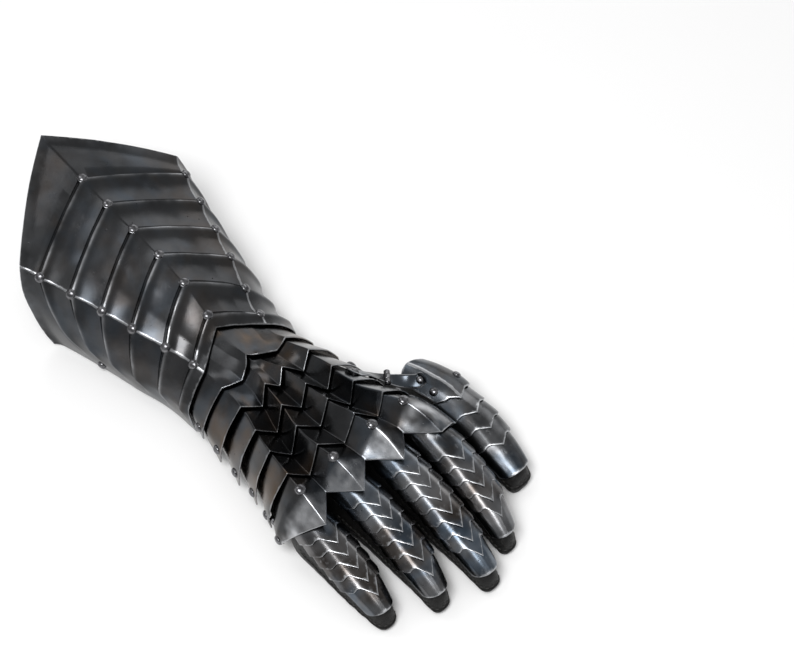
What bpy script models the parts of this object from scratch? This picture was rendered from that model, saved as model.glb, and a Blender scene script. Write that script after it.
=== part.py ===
"""Armoured gauntlet for a right hand, lying palm down.

A flared steel cuff with embossed chevron ribs, overlapping lames over the wrist and the back of
the hand, a gabled knuckle plate, ridged scales on each finger and on the thumb, all worn over a
hollow leather glove. X runs from the cuff to the fingertips, +Y is the thumb side, Z is up and
the gauntlet rests on z = 0. Sizes are in millimetres and turn to metres when a mesh is made.

Most pieces follow one skin over the forearm and hand. SECTIONS gives that skin at named stations
as eleven lines that run lengthwise; a place on it is a station x and a line number t, where t = 5
is the middle of the hand's back, 2 and 8 the outer ridges, and 0 and 10 the lower edges.
"""

import math

import bmesh
import bpy
import numpy as np

MM = 0.001

# Driving sizes
LENGTH = 404.0
HALF_WIDTH = 88.0
HEIGHT = 95.0
STEEL = 1.1
LEATHER = 1.6
CLEARANCE = 0.3
LAME_GAP = 1.2
STEP = STEEL + LAME_GAP

# Rivets
RIVET_RADIUS = 2.7
RIVET_RISE = 1.7
RIVET_ROOT = 0.8
RIVET_SIDES = 8

# Cuff. RIB_LINES gives the rear rib's station and the pitch of the ribs, as shares of LENGTH, on
# the middle fold, on the outer ridges and at the lower edges.
RIB_COUNT = 6
RIB_LINES = ((.0968, .0587), (.1634, .0532), (.2700, .0370))
RIB_PROFILE = ((0.0, 0.0), (.06, .75), (.15, 1.0), (.27, .6), (.42, 0.0))
RIB_RISE = 2.2
RIBS_END = (4.0, 4.5)
REAR_EDGE = (-1.65, -.62, -1.25, -2.2)
BORDER_FLARE = 2.4
CUFF_LIFT = 2.9
CUFF_LOW_RIVETS = (.6, .3)

# The skin over forearm and hand, a row for each station. Stations are shares of LENGTH; each line
# is (side, height) as shares of HALF_WIDTH and HEIGHT, from the thumb's side to the little finger.
LINES = ("thumb_edge", "thumb_side", "index_ridge", "index_valley", "middle_ridge", "centre",
         "ring_ridge", "little_valley", "little_ridge", "little_side", "little_edge")
SECTIONS = (
    (0.000, (.838, .004), (.846, .360), (.862, .700), (.580, .762), (.290, .828), (.000, .895),
     (-.290, .828), (-.580, .762), (-.862, .700), (-.846, .360), (-.838, .004)),
    (0.170, (.668, .004), (.700, .300), (.632, .596), (.425, .657), (.212, .710), (.000, .758),
     (-.212, .710), (-.425, .657), (-.632, .596), (-.700, .300), (-.668, .004)),
    (0.340, (.500, .004), (.550, .245), (.402, .492), (.270, .545), (.135, .586), (.000, .622),
     (-.135, .586), (-.270, .545), (-.402, .492), (-.550, .245), (-.500, .004)),
    (0.450, (.430, .004), (.465, .220), (.262, .428), (.170, .462), (.060, .490), (-.035, .500),
     (-.100, .480), (-.190, .455), (-.278, .422), (-.465, .220), (-.430, .004)),
    (0.500, (.430, .004), (.470, .228), (.268, .455), (.145, .472), (.020, .505), (-.025, .503),
     (-.065, .492), (-.160, .450), (-.290, .435), (-.482, .218), (-.438, .004)),
    (0.550, (.440, .004), (.485, .250), (.290, .510), (.170, .452), (.052, .562), (-.026, .478),
     (-.105, .525), (-.175, .418), (-.325, .462), (-.500, .230), (-.450, .004)),
    (0.600, (.455, .004), (.518, .265), (.298, .560), (.192, .455), (.056, .600), (-.038, .482),
     (-.158, .568), (-.242, .415), (-.400, .502), (-.540, .240), (-.478, .004)),
    (0.653, (.470, .004), (.550, .280), (.315, .598), (.215, .470), (.070, .632), (-.055, .492),
     (-.218, .600), (-.315, .428), (-.464, .540), (-.580, .250), (-.505, .004)),
    (0.715, (.520, .004), (.655, .275), (.430, .585), (.290, .478), (.138, .606), (-.030, .487),
     (-.205, .588), (-.350, .437), (-.505, .520), (-.672, .240), (-.550, .004)),
    (0.790, (.540, .004), (.705, .250), (.500, .470), (.330, .360), (.150, .480), (-.020, .370),
     (-.190, .456), (-.360, .320), (-.530, .388), (-.712, .200), (-.560, .004)),
)
# How far each face between two lines bulges, as a share of its own width
BULGE = (.03, .06, 0, 0, 0, 0, 0, 0, .06, .03)
CENTRE, THUMB_RIDGE, LITTLE_RIDGE = 5, 2, 8

# Lames from the cuff to the knuckle plate: where each front edge stands and how far its middle
# runs back, as shares of LENGTH, the ridges it dips at, the line where the thumb's side ends, and
# the lines of its corner rivets
LAMES = (
    ("wrist_lame_1", .503, .024, (2, 8), .5, (.85, 9.15)),
    ("wrist_lame_2", .554, .000, (2, 4, 6, 8), .5, (.85, 9.15)),
    ("hand_lame_1", .605, .000, (2, 4, 6, 8), 1.0, (1.3, 9.15)),
    ("hand_lame_2", .649, .000, (2, 4, 6, 8), 1.0, (1.3, 9.15)),
    ("hand_lame_3", .694, .000, (2, 4, 6, 8), 1.0, (1.3, 9.15)),
)
LAME_OVERLAP = 7.0
LAME_DIP = 5.0
LAME_SWEEP = 3.0
LAME_RIVET_INSET = 5.0
LITTLE_EDGE = 9.5

# Knuckle plate: how high its front lies, the station of its points, how far its edge runs back
# between them and is turned at four lines, all as shares of LENGTH; its rivets as (station, line)
COVER_LIFT = 2 * STEP + 0.2
KNUCKLES = (2, 4, 6, 8)
KNUCKLE_FRONT, KNUCKLE_FRONT_CUT = .775, .038
KNUCKLE_TURN_LINES = (1, 2, 8, 9)
KNUCKLE_TURN = (.012, .006, -.004, -.020)
KNUCKLE_OUTER_SHARE = .6
KNUCKLE_CLIMB = .2
KNUCKLE_RIVETS = ((.716, 2), (.716, 4), (.716, 6), (.716, 8), (.693, 9.1), (.722, 9.1),
                  (.700, 1.3))

# Fingers: knuckle side and tip side as shares of HALF_WIDTH, ridge height at the knuckle as a
# share of HEIGHT, first scale's point and tip plate's end as shares of LENGTH, number of scales,
# and how far the finger bows to the thumb's side, as a share of HALF_WIDTH
FINGERS = (
    ("index", .485, .425, .462, .828, .942, 5, .055),
    ("middle", .175, .135, .482, .808, .969, 7, .025),
    ("ring", -.180, -.215, .457, .804, .943, 6, .035),
    ("little", -.530, -.565, .386, .800, .909, 5, .010),
)
FINGER_ROOT_X = 0.735
FINGER_ROOT_RISE = 0.055
FINGER_COVER = 0.747
FINGER_HALF_WIDTH = 10.6
FINGER_NARROWING = 0.42
FINGER_FULL_UNTIL = 0.50
FINGER_TIP_HEIGHT = 16.0
FINGER_DROP = 13.0
LEATHER_TIP = 3.2
SCALE_LINES = np.array([-1.5, -1.1, -.58, -.28, 0, .28, .58, 1.1, 1.5])
SCALE_POINT = 18.0
SCALE_EDGE = ((0, 0), (.187, .30), (.387, .56), (.60, .60), (.733, .74), (1, 1))
SCALE_STEEL = 1.0
SCALE_STEP = SCALE_STEEL + 0.4
SCALE_OVERLAP = 6.0
TIP_PLATE_RISE = 0.5
TIP_PLATE_ROUND = 8.0

# Thumb: rows of station, side and ridge height as shares of LENGTH, HALF_WIDTH and HEIGHT
THUMB_ROWS = (
    (.600, .745, .350), (.680, .858, .340), (.745, .888, .312), (.820, .880, .240),
    (.880, .842, .165), (.925, .805, .120),
)
THUMB_HALF_WIDTH = 13.5
THUMB_DROP = 15.0
THUMB_NARROWING = 0.36
THUMB_PLATE_REAR, THUMB_PLATE_CUT = .640, .012
THUMB_PLATE_INNER = .55
THUMB_PLATE_RISE, THUMB_PLATE_DOME = 2.4, 1.2
THUMB_RIVETS = ((.704, .5), (.704, -.8))
THUMB_RIVET_SIZE = .85
THUMB_FRONTS = (.742, .774, .804, .834)
THUMB_END = .878
THUMB_POINT = 10.0

# Hinge: (station, line) of its ends, two on the hand and two on the thumb, and its outline as
# rows of place along it, half width and rise of the barrel
HINGE_STOPS = ((.618, 1.8), (.626, 1.4), (.664, .6), (.678, .2))
HINGE_OUTLINE = (
    (0, 1.8, 0), (.25, 3.6, 0), (.6, 4.4, 0), (1, 3.8, 0), (1.36, 3.8, .6), (1.40, 5.2, 2.4),
    (1.60, 5.2, 2.4), (1.64, 3.8, .6), (2, 3.8, 0), (2.4, 4.4, 0), (2.75, 3.6, 0), (3, 1.8, 0),
)
HINGE_RIVETS = (2, 9)
HINGE_LIFTS = (5.4, 5.2)

# Glove: stations along the palm as shares of LENGTH, the lines down the side, and where the
# thumb leaves it, as ring numbers and spans round a ring
PALM_STATIONS = (.335, .415, .450, .480, .510, .538, .562, .586, .610, .635, .660, .685, .706)
SLEEVE_END = .42
SLEEVE_SLACK = 2.0
GLOVE_SLACK = 0.9
UNDER_POINTS = 9
LEAST_EAVE = 5.0
SIDE_LINES = (.72, .42, .15)
THUMB_HOLE = (6, 10)
THUMB_SPANS = (17, 18, 19)
THUMB_ROOT = .715


# Curves and skins

def hermite(stations, values, x):
    """Smooth curve through a table's rows, straight where three rows lie on one line."""
    stations = np.asarray(stations, float)
    values = np.asarray(values, float)
    chord = np.diff(values) / np.diff(stations)
    gap = np.diff(stations)
    slope = np.empty_like(values)
    slope[0] = chord[0]
    slope[-1] = chord[-1]
    slope[1:-1] = (chord[:-1] * gap[1:] + chord[1:] * gap[:-1]) / (gap[:-1] + gap[1:])
    cell = np.clip(np.searchsorted(stations, x) - 1, 0, len(gap) - 1)
    width = gap[cell]
    f = (x - stations[cell]) / width
    before = values[cell] + slope[cell] * width * f
    after = values[cell + 1] - slope[cell + 1] * width * (1 - f)
    blend = f * f * (3 - 2 * f)
    inside = before * (1 - blend) + after * blend
    return np.where(f < 0, values[0] + slope[0] * (x - stations[0]),
                    np.where(f > 1, values[-1] + slope[-1] * (x - stations[-1]), inside))


def hand_skin(x, t):
    """Point on the skin over forearm and hand at station x (mm) and line number t."""
    x, t = np.broadcast_arrays(np.asarray(x, float), np.asarray(t, float))
    stations = [row[0] * LENGTH for row in SECTIONS]
    sides = np.stack([hermite(stations, [row[1 + k][0] * HALF_WIDTH for row in SECTIONS], x)
                      for k in range(len(LINES))], -1)
    heights = np.stack([hermite(stations, [row[1 + k][1] * HEIGHT for row in SECTIONS], x)
                        for k in range(len(LINES))], -1)
    low = np.clip(np.floor(t).astype(int), 0, len(LINES) - 2)
    f = t - low

    def pick(table, index):
        return np.take_along_axis(table, index[..., None], -1)[..., 0]

    y0, y1 = pick(sides, low), pick(sides, low + 1)
    z0, z1 = pick(heights, low), pick(heights, low + 1)
    bulge = np.asarray(BULGE)[low] * 4 * f * (1 - f)
    y = y0 + (y1 - y0) * f - (z0 - z1) * bulge
    z = z0 + (z1 - z0) * f + (y0 - y1) * bulge
    return np.stack([x, y, z], -1)


def finger_height(row, x):
    """Height of a finger's ridge: falls from the knuckle to the tip, faster near the end."""
    start = FINGER_ROOT_X * LENGTH
    u = (x - start) / (row[5] * LENGTH - start)
    top = (row[3] + FINGER_ROOT_RISE) * HEIGHT
    return top - (top - FINGER_TIP_HEIGHT) * (0.86 * u + 0.14 * np.clip(u, 0, None) ** 4)


def finger_skin(row):
    """Skin of one finger; t runs from -1.5 on the thumb's side to 1.5."""
    def skin(x, t):
        x, t = np.broadcast_arrays(np.asarray(x, float), np.asarray(t, float))
        start = FINGER_ROOT_X * LENGTH
        u = np.clip((x - start) / (row[5] * LENGTH - start), 0, 1.2)
        side = HALF_WIDTH * (row[1] + (row[2] - row[1]) * u + row[7] * 4 * u * (1 - u))
        tip = np.clip((u - FINGER_FULL_UNTIL) / (1 - FINGER_FULL_UNTIL), 0, 1.2)
        width = FINGER_HALF_WIDTH * (1 - FINGER_NARROWING * tip ** 1.7)
        drop = FINGER_DROP * (1 - 0.38 * u)
        return gable(x, t, side, finger_height(row, x), width, drop)
    return skin


def thumb_skin(x, t):
    """Skin of the thumb; t runs from -1.5 on the outside to 1.5 next to the hand."""
    x, t = np.broadcast_arrays(np.asarray(x, float), np.asarray(t, float))
    stations = [row[0] * LENGTH for row in THUMB_ROWS]
    side = hermite(stations, [row[1] * HALF_WIDTH for row in THUMB_ROWS], x)
    height = hermite(stations, [row[2] * HEIGHT for row in THUMB_ROWS], x)
    u = np.clip((x - stations[0]) / (THUMB_END * LENGTH - stations[0]), 0, 1.2)
    width = THUMB_HALF_WIDTH * (1 - THUMB_NARROWING * u ** 3)
    drop = THUMB_DROP * (1 - 0.42 * u)
    return gable(x, t, side, height, width, drop)


def gable(x, t, side, height, width, drop):
    """Ridged roof over a finger: sharp along t = 0, rounding down to its eaves at 1.5."""
    share = np.abs(t) / 1.5
    across = np.sign(t) * np.interp(share, (0, .42, .74, 1), (0, .58, .92, 1.0))
    fall = np.interp(share, (0, .42, .74, 1), (0, .28, .64, 1.0))
    return np.stack([x, side - across * width, height - fall * drop], -1)


def normals(skin, x, t, reach):
    """Outward direction of a skin, the mean of both sides where it is creased."""
    dx, dt = 0.5, 0.04
    along = skin(x + dx, t) - skin(x - dx, t)
    here = skin(x, t)
    total = 0.0
    for step in (-dt, dt):
        inside = np.clip(t + step, reach[0], reach[1])
        usable = np.abs(inside - t) > 1e-9
        side = (skin(x, np.where(usable, inside, t - step)) - here) * np.where(usable, 1, -1)[..., None]
        side = side * np.sign(step)
        face = np.cross(side, along)
        face /= np.linalg.norm(face, axis=-1, keepdims=True)
        total = total + face
    return total / np.linalg.norm(total, axis=-1, keepdims=True)


# Meshes and materials

def material(name, color, metallic, roughness):
    """Plain Principled material."""
    mat = bpy.data.materials.get(name) or bpy.data.materials.new(name)
    mat.use_nodes = True
    shader = mat.node_tree.nodes["Principled BSDF"]
    shader.inputs["Base Color"].default_value = (*color, 1.0)
    shader.inputs["Metallic"].default_value = metallic
    shader.inputs["Roughness"].default_value = roughness
    return mat


def blackened_steel():
    """Dark polished steel of the plates."""
    return material("blackened_steel", (0.035, 0.036, 0.038), 1.0, 0.32)


def black_leather():
    """Matte leather of the glove."""
    return material("black_leather", (0.016, 0.015, 0.015), 0.0, 0.62)


def add_object(name, points, faces, mat, sharp=30.0, mouth=()):
    """Mesh object from points in millimetres, faces turned outward, smooth below the angle. A
    mouth is a ring of point numbers that stays open."""
    mesh = bpy.data.meshes.new(name)
    placed = (np.asarray(points, float) - (LENGTH / 2, 0, 0)) * MM
    mesh.from_pydata(placed.tolist(), [], faces + ([tuple(mouth)] if mouth else []))
    work = bmesh.new()
    work.from_mesh(mesh)
    bmesh.ops.recalc_face_normals(work, faces=work.faces)
    if mouth:
        work.faces.ensure_lookup_table()
        if work.calc_volume(signed=True) < 0:
            bmesh.ops.reverse_faces(work, faces=work.faces)
        work.faces.ensure_lookup_table()
        bmesh.ops.delete(work, geom=[work.faces[-1]], context="FACES_ONLY")
    work.to_mesh(mesh)
    work.free()
    mesh.polygons.foreach_set("use_smooth", [True] * len(mesh.polygons))
    mesh.set_sharp_from_angle(angle=math.radians(sharp))
    mesh.materials.append(mat)
    obj = bpy.data.objects.new(name, mesh)
    bpy.context.scene.collection.objects.link(obj)
    return obj


def grid_faces(rows, columns, start=0, flip=False):
    """Quads of a grid whose points are numbered row by row."""
    faces = []
    for r in range(rows - 1):
        for c in range(columns - 1):
            a = start + r * columns + c
            quad = (a, a + 1, a + columns + 1, a + columns)
            faces.append(quad[::-1] if flip else quad)
    return faces


def shell(name, outer, inner, mat):
    """Closed sheet between two grids of the same size, joined round the rim."""
    rows, columns = outer.shape[:2]
    count = rows * columns
    faces = grid_faces(rows, columns) + grid_faces(rows, columns, count, True)
    rim = [c for c in range(columns)]
    rim += [r * columns + columns - 1 for r in range(1, rows)]
    rim += [(rows - 1) * columns + c for c in range(columns - 2, -1, -1)]
    rim += [r * columns for r in range(rows - 2, 0, -1)]
    for a, b in zip(rim, rim[1:] + rim[:1]):
        faces.append((b, a, a + count, b + count))
    points = np.concatenate([outer.reshape(-1, 3), inner.reshape(-1, 3)])
    return add_object(name, points, faces, mat)


def plate(name, skin, x, t, lift, reach, mat, thickness=STEEL):
    """Steel plate over the skin, its underside lifted off it by lift (mm, may vary)."""
    base = skin(x, t)
    out = normals(skin, x, t, reach)
    lift = np.broadcast_to(lift, x.shape)[..., None]
    return shell(name, base + out * (lift + thickness), base + out * lift, mat)


def rivet_mesh(seats):
    """Domed rivets, one for each (place, direction, size), each rooted in its plate."""
    rings = ((-RIVET_ROOT, 1.0), (RIVET_RISE * .55, .80))
    points, faces = [], []
    turns = np.arange(RIVET_SIDES) * 2 * math.pi / RIVET_SIDES
    for place, direction, size in seats:
        start = len(points)
        side = np.cross(direction, (1.0, 0.13, 0.0))
        side /= np.linalg.norm(side)
        other = np.cross(direction, side)
        for rise, share in rings:
            radius = RIVET_RADIUS * share * size
            for turn in turns:
                points.append(place + direction * rise + radius
                              * (math.cos(turn) * side + math.sin(turn) * other))
        points.append(place + direction * RIVET_RISE)
        n = RIVET_SIDES
        faces.append(tuple(start + k for k in range(n)))
        for ring in range(len(rings) - 1):
            for k in range(n):
                a, b = start + ring * n + k, start + ring * n + (k + 1) % n
                faces.append((a, b, b + n, a + n))
        top = start + (len(rings) - 1) * n
        for k in range(n):
            faces.append((top + k, top + (k + 1) % n, start + len(rings) * n))
    return points, faces


def add_rivets(obj, skin, places, lifts, reach, size=1.0):
    """Fuse domed rivets with a plate at the given (x, t) places; lifts as those of the plate."""
    seats = []
    for (x, t), lift in zip(places, np.broadcast_to(lifts, len(places))):
        x, t = np.array([x], float), np.array([t], float)
        out = normals(skin, x, t, reach)[0]
        seats.append((skin(x, t)[0] + out * (lift + STEEL), out, size))
    fuse(obj, *rivet_mesh(seats))


def fuse(obj, points, faces):
    """Join loose small solids to a plate, so that the plate stays one body."""
    cutter = add_object(obj.name + "_rivets", points, faces, obj.data.materials[0])
    cutter.hide_render = True
    cutter.display_type = "WIRE"
    union = obj.modifiers.new("rivets", "BOOLEAN")
    union.operation = "UNION"
    union.solver = "EXACT"
    union.object = cutter


# Cuff

def rib_line(rib, t):
    """Station of a rib, counted from the rear one at 0, where it crosses line t."""
    centre, ridge, lower = (LENGTH * (first + pitch * rib) for first, pitch in RIB_LINES)
    fold = np.abs(np.asarray(t, float) - CENTRE)
    outer = CENTRE - THUMB_RIDGE
    top = centre + (ridge - centre) * np.clip(fold / outer, 0, 1)
    return top + (lower - ridge) * np.clip((fold - outer) / (CENTRE - outer), 0, 1)


def cuff_rows():
    """Rows along the cuff: rib number and the share of the rib's rise and border's flare."""
    rows = [(-1.0, 0.0, 1.0), (-.92, 0.0, .55), (-.82, 0.0, 0.0), (-.4, 0.0, 0.0)]
    for rib in range(RIB_COUNT):
        rows += [(rib + share, rise, 0.0) for share, rise in RIB_PROFILE]
    return rows


def cuff_plate():
    """Flared cuff: three long ridges, embossed ribs and a turned rear border."""
    t = np.array([.1, .5, 1, 1.5, 2, 3, 4, 5, 6, 7, 8, 8.5, 9, 9.5, 9.9], float)
    fold = np.abs(t - CENTRE)
    rear = np.interp(fold, (0, LITTLE_RIDGE - CENTRE, CENTRE - 1, CENTRE), REAR_EDGE)
    taper = np.interp(fold, RIBS_END, (1, 0))
    grid_x, lift = [], []
    for rib, rise, flare in cuff_rows():
        number = np.where(rib < 0, -rib * rear, rib)
        grid_x.append(rib_line(number, t))
        lift.append(CUFF_LIFT + RIB_RISE * rise * taper + BORDER_FLARE * flare)
    x, lift = np.stack(grid_x), np.stack(lift)
    t = np.broadcast_to(t, x.shape)
    obj = plate("cuff_plate", hand_skin, x, t, lift, (0, 10), blackened_steel())
    places = [(float(rib_line(rib, line)), line) for rib in range(RIB_COUNT)
              for line in (THUMB_RIDGE, CENTRE, LITTLE_RIDGE)]
    station, edge = CUFF_LOW_RIVETS
    places += [(float(rib_line(station, line)), line) for line in (edge, 2 * CENTRE - edge)]
    add_rivets(obj, hand_skin, places, CUFF_LIFT, (0, 10))
    return obj


# Lames and knuckle plate

def lame_front(number, t):
    """Front edge of a lame, counted from 1: set back on its ridges, in its middle and at its
    sides, so that its corners point forward in the hollows."""
    t = np.asarray(t, float)
    fold = np.abs(t - CENTRE)
    outer = CENTRE - THUMB_RIDGE
    _, station, back, crests, _, _ = LAMES[number - 1]
    near = np.min(np.abs(t[..., None] - np.array(crests)), -1)
    middle = back * np.clip(1 - fold / outer, 0, 1) ** 2
    dips = LAME_DIP * (np.clip(1 - near, 0, 1) - 0.5)
    return LENGTH * (station - middle) - dips - LAME_SWEEP * np.clip(fold - outer, 0, None)


def shingle_fronts(t):
    """Front edges of the cuff and of each lame, and the slope that lets each pass under the one
    before it."""
    fronts = [rib_line(RIB_COUNT - 1 + .62, t)]
    fronts += [lame_front(k + 1, t) for k in range(len(LAMES))]
    return fronts, STEP / np.min(np.diff(np.stack(fronts), axis=0), 0)


def build_lames():
    """Row of lames from the cuff to the knuckle plate, each lying over the next one."""
    every = np.array([.5, 1, 1.5, 2, 3, 4, 5, 6, 7, 8, 8.5, 9, LITTLE_EDGE])
    fronts, slope = shingle_fronts(every)
    for k, (name, _, _, _, edge, rivets) in enumerate(LAMES):
        used = every >= edge
        front, rear = fronts[k + 1][used], fronts[k][used] - LAME_OVERLAP
        x = rear + (front - rear) * np.linspace(0, 1, 5)[:, None]
        t = np.broadcast_to(every[used], x.shape)
        obj = plate(name, hand_skin, x, t, slope[used] * (x - rear), (0, 10), blackened_steel())
        corners = [(float(np.interp(line, every, fronts[k + 1])) - LAME_RIVET_INSET, line)
                   for line in rivets]
        lifts = [(x - np.interp(line, every, fronts[k]) + LAME_OVERLAP)
                 * np.interp(line, every, slope) for x, line in corners]
        add_rivets(obj, hand_skin, corners, lifts, (0, 10))


def knuckle_rise(x, t):
    """How high the knuckle plate lies: it starts under the last lame and climbs to its front."""
    fronts, slope = shingle_fronts(t)
    rear = fronts[-1] - LAME_OVERLAP
    under = slope * (x - rear)
    return np.minimum(under + KNUCKLE_CLIMB * np.clip(x - fronts[-1] - 1, 0, None), COVER_LIFT)


def build_knuckle_plate():
    """Plate with a gable over each knuckle, a zigzag front edge and a rivet on each ridge."""
    t = np.array([1.2, 1.6, 2, 3, 4, 5, 6, 7, 8, 8.5, 9, 9.3])
    near = np.min(np.abs(t[:, None] - np.array(KNUCKLES)), -1)
    outside = (t < KNUCKLES[0]) | (t > KNUCKLES[-1])
    near = np.where(outside, near * KNUCKLE_OUTER_SHARE, near)
    turn = np.interp(t, KNUCKLE_TURN_LINES, KNUCKLE_TURN)
    front = LENGTH * (KNUCKLE_FRONT - KNUCKLE_FRONT_CUT * near + turn)
    cover = lame_front(len(LAMES), t)
    rows = [cover - LAME_OVERLAP, cover + 1]
    rows += [rows[-1] + (front - rows[-1]) * share for share in (.3, .65, 1)]
    x = np.stack(rows)
    grid_t = np.broadcast_to(t, x.shape)
    obj = plate("knuckle_plate", hand_skin, x, grid_t, knuckle_rise(x, grid_t), (0, 10),
                blackened_steel())
    places = [(LENGTH * station, line) for station, line in KNUCKLE_RIVETS]
    lifts = [float(knuckle_rise(np.array(x), np.array(line))) for x, line in places]
    add_rivets(obj, hand_skin, places, lifts, (0, 10))


# Finger and thumb scales

def scale_edge(front, point, t):
    """Front edge of a scale: a point on the ridge, a rounded shoulder beside it, then swept back
    down its sides."""
    shares, backs = np.array(SCALE_EDGE).T
    return front - point * np.interp(np.abs(t) / 1.5, shares, backs)


def scale_row(name, skin, fronts, end, cover, point=SCALE_POINT, rows=2):
    """Scales from the knuckle outward, the last one a rounded tip plate. Each starts under the
    edge before it; the first starts under the edge called cover."""
    t = SCALE_LINES
    edges = [scale_edge(front, point, t) for front in fronts]
    edges.append(end - TIP_PLATE_ROUND * (np.abs(t) / 1.5) ** 2)
    slope = SCALE_STEP / np.min(np.diff(np.stack(edges), axis=0), 0)
    before = cover
    for k, front in enumerate(edges):
        last = k == len(edges) - 1
        rear = before - SCALE_OVERLAP
        x = rear + (front - rear) * np.linspace(0, 1, 4 if last else rows)[:, None]
        sloped = slope * (x - (edges[k - 1] if k else front - SCALE_STEP / slope) + SCALE_OVERLAP)
        lift = CLEARANCE + np.clip(sloped, 0, TIP_PLATE_RISE if last else None)
        title = name + ("_tip_plate" if last else "_scale_" + str(k + 1))
        plate(title, skin, x, np.broadcast_to(t, x.shape), lift, (-1.5, 1.5), blackened_steel(),
              SCALE_STEEL)
        before = front


def build_finger_scales():
    """Scale rows of the four fingers."""
    for row in FINGERS:
        first, end = row[4] * LENGTH, row[5] * LENGTH
        pitch = (end - first) / row[6]
        fronts = [first + pitch * k for k in range(row[6])]
        cover = np.full(SCALE_LINES.shape, FINGER_COVER * LENGTH)
        scale_row(row[0], finger_skin(row), fronts, end, cover)


def thumb_plate_share(x, t):
    """How far along the thumb plate a place is, from its rear edge at 0 to its front at 1."""
    line = t / np.where(np.asarray(t) > 0, THUMB_PLATE_INNER, 1)
    front = scale_edge(THUMB_FRONTS[0] * LENGTH, THUMB_POINT, line)
    rear = LENGTH * (THUMB_PLATE_REAR + THUMB_PLATE_CUT * (line / 1.5) ** 2)
    return (x - rear) / (front - rear), rear, front


def thumb_plate_lift(share):
    """How high the thumb plate lies: it climbs from its rear edge and is domed."""
    return CLEARANCE + THUMB_PLATE_RISE * share + THUMB_PLATE_DOME * np.sin(math.pi * share)


def build_thumb_plates():
    """Domed plate over the thumb's root and the scales in front of it."""
    t = SCALE_LINES * np.where(SCALE_LINES > 0, THUMB_PLATE_INNER, 1)
    _, rear, front = thumb_plate_share(0, t)
    share = np.linspace(0, 1, 5)[:, None]
    x = rear + (front - rear) * share
    lift = np.broadcast_to(thumb_plate_lift(share), x.shape)
    obj = plate("thumb_plate", thumb_skin, x, np.broadcast_to(t, x.shape), lift, (-1.5, 1.5),
                blackened_steel())
    places = [(LENGTH * station, line) for station, line in THUMB_RIVETS]
    lifts = [float(thumb_plate_lift(thumb_plate_share(x, line)[0])) for x, line in places]
    add_rivets(obj, thumb_skin, places, lifts, (-1.5, 1.5), THUMB_RIVET_SIZE)
    cover = scale_edge(THUMB_FRONTS[0] * LENGTH, THUMB_POINT, SCALE_LINES)
    scale_row("thumb", thumb_skin, [f * LENGTH for f in THUMB_FRONTS[1:]], THUMB_END * LENGTH,
              cover, THUMB_POINT, 4)


def thumb_hinge():
    """Plain hinge from the hand's side to the thumb plate: two leaves and a rolled barrel."""
    hand_lift, thumb_lift = HINGE_LIFTS
    stops = [seat(hand_skin, place, hand_lift, (0, 10)) for place in HINGE_STOPS[:2]]
    stops += [seat(thumb_skin, place, thumb_lift, (-1.5, 1.5)) for place in HINGE_STOPS[2:]]
    places = np.array([stop[0] for stop in stops])
    ways = np.array([stop[1] for stop in stops])
    shares, half, bump = np.array(HINGE_OUTLINE, float).T
    middle = np.stack([np.interp(shares, range(4), places[:, k]) for k in range(3)], -1)
    up = np.stack([np.interp(shares, range(4), ways[:, k]) for k in range(3)], -1)
    across = np.cross(np.gradient(middle, axis=0), up)
    across /= np.linalg.norm(across, axis=1, keepdims=True)
    side = np.array([-1, 0, 1])[None, :, None]
    lower = middle[:, None] + across[:, None] * half[:, None, None] * side
    rise = STEEL + bump[:, None, None] * (1 - .5 * np.abs(side))
    obj = shell("thumb_hinge", lower + up[:, None] * rise, lower, blackened_steel())
    ends = [(middle[k] + up[k] * STEEL, up[k], .8) for k in HINGE_RIVETS]
    fuse(obj, *rivet_mesh(ends))


def seat(skin, place, lift, reach):
    """Point lifted off a skin, and the outward direction there."""
    x, t = np.array([place[0] * LENGTH]), np.array([place[1]], float)
    out = normals(skin, x, t, reach)[0]
    return skin(x, t)[0] + out * lift, out


# Glove

def palm_ring(x, inset):
    """Points round the glove at station x: over the back from the little finger to the thumb,
    down the thumb's side, under the palm, and up the little finger's side."""
    t = np.concatenate([np.linspace(9, 1, 17), SIDE_LINES])
    t = np.concatenate([t, 10 - np.array(SIDE_LINES[::-1])])
    stations = np.full(t.shape, x)
    points = hand_skin(stations, t) - normals(hand_skin, stations, t, (0, 10)) * inset
    points[:, 0] = x
    edges = hand_skin(np.full(2, x), np.array([0, 10.0]))[:, 1]
    under_y = np.linspace(edges[0] - 3, edges[1] + 3, UNDER_POINTS)
    under = np.stack([np.full(UNDER_POINTS, x), under_y, np.zeros(UNDER_POINTS)], 1)
    return np.concatenate([points[:20], under, points[20:]])


def finger_ring(row, x, shrink=1.0):
    """Points round a leather finger at station x, in the order of its share of the palm ring."""
    top = finger_skin(row)(np.full(5, x), np.array([1.5, .8, 0, -.8, -1.5]))
    middle = top[2, 1]
    top[:, 1] = middle + (top[:, 1] - middle) * shrink
    top[:, 2] = np.maximum(top[:, 2] - GLOVE_SLACK, LEAST_EAVE) * shrink
    low, high = top[0], top[4]
    shares = np.array([.72, .42, .15])
    left = np.stack([np.full(3, x), high[1] + np.array([.3, .2, -.4]), high[2] * shares], 1)
    right = np.stack([np.full(3, x), low[1] - np.array([.3, .2, -.4]), low[2] * shares], 1)
    under_y = np.linspace(high[1] - 2 * shrink, low[1] + 2 * shrink, 3)
    under = np.stack([np.full(3, x), under_y, np.zeros(3)], 1)
    return np.concatenate([top, left, under, right[::-1]])


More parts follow.
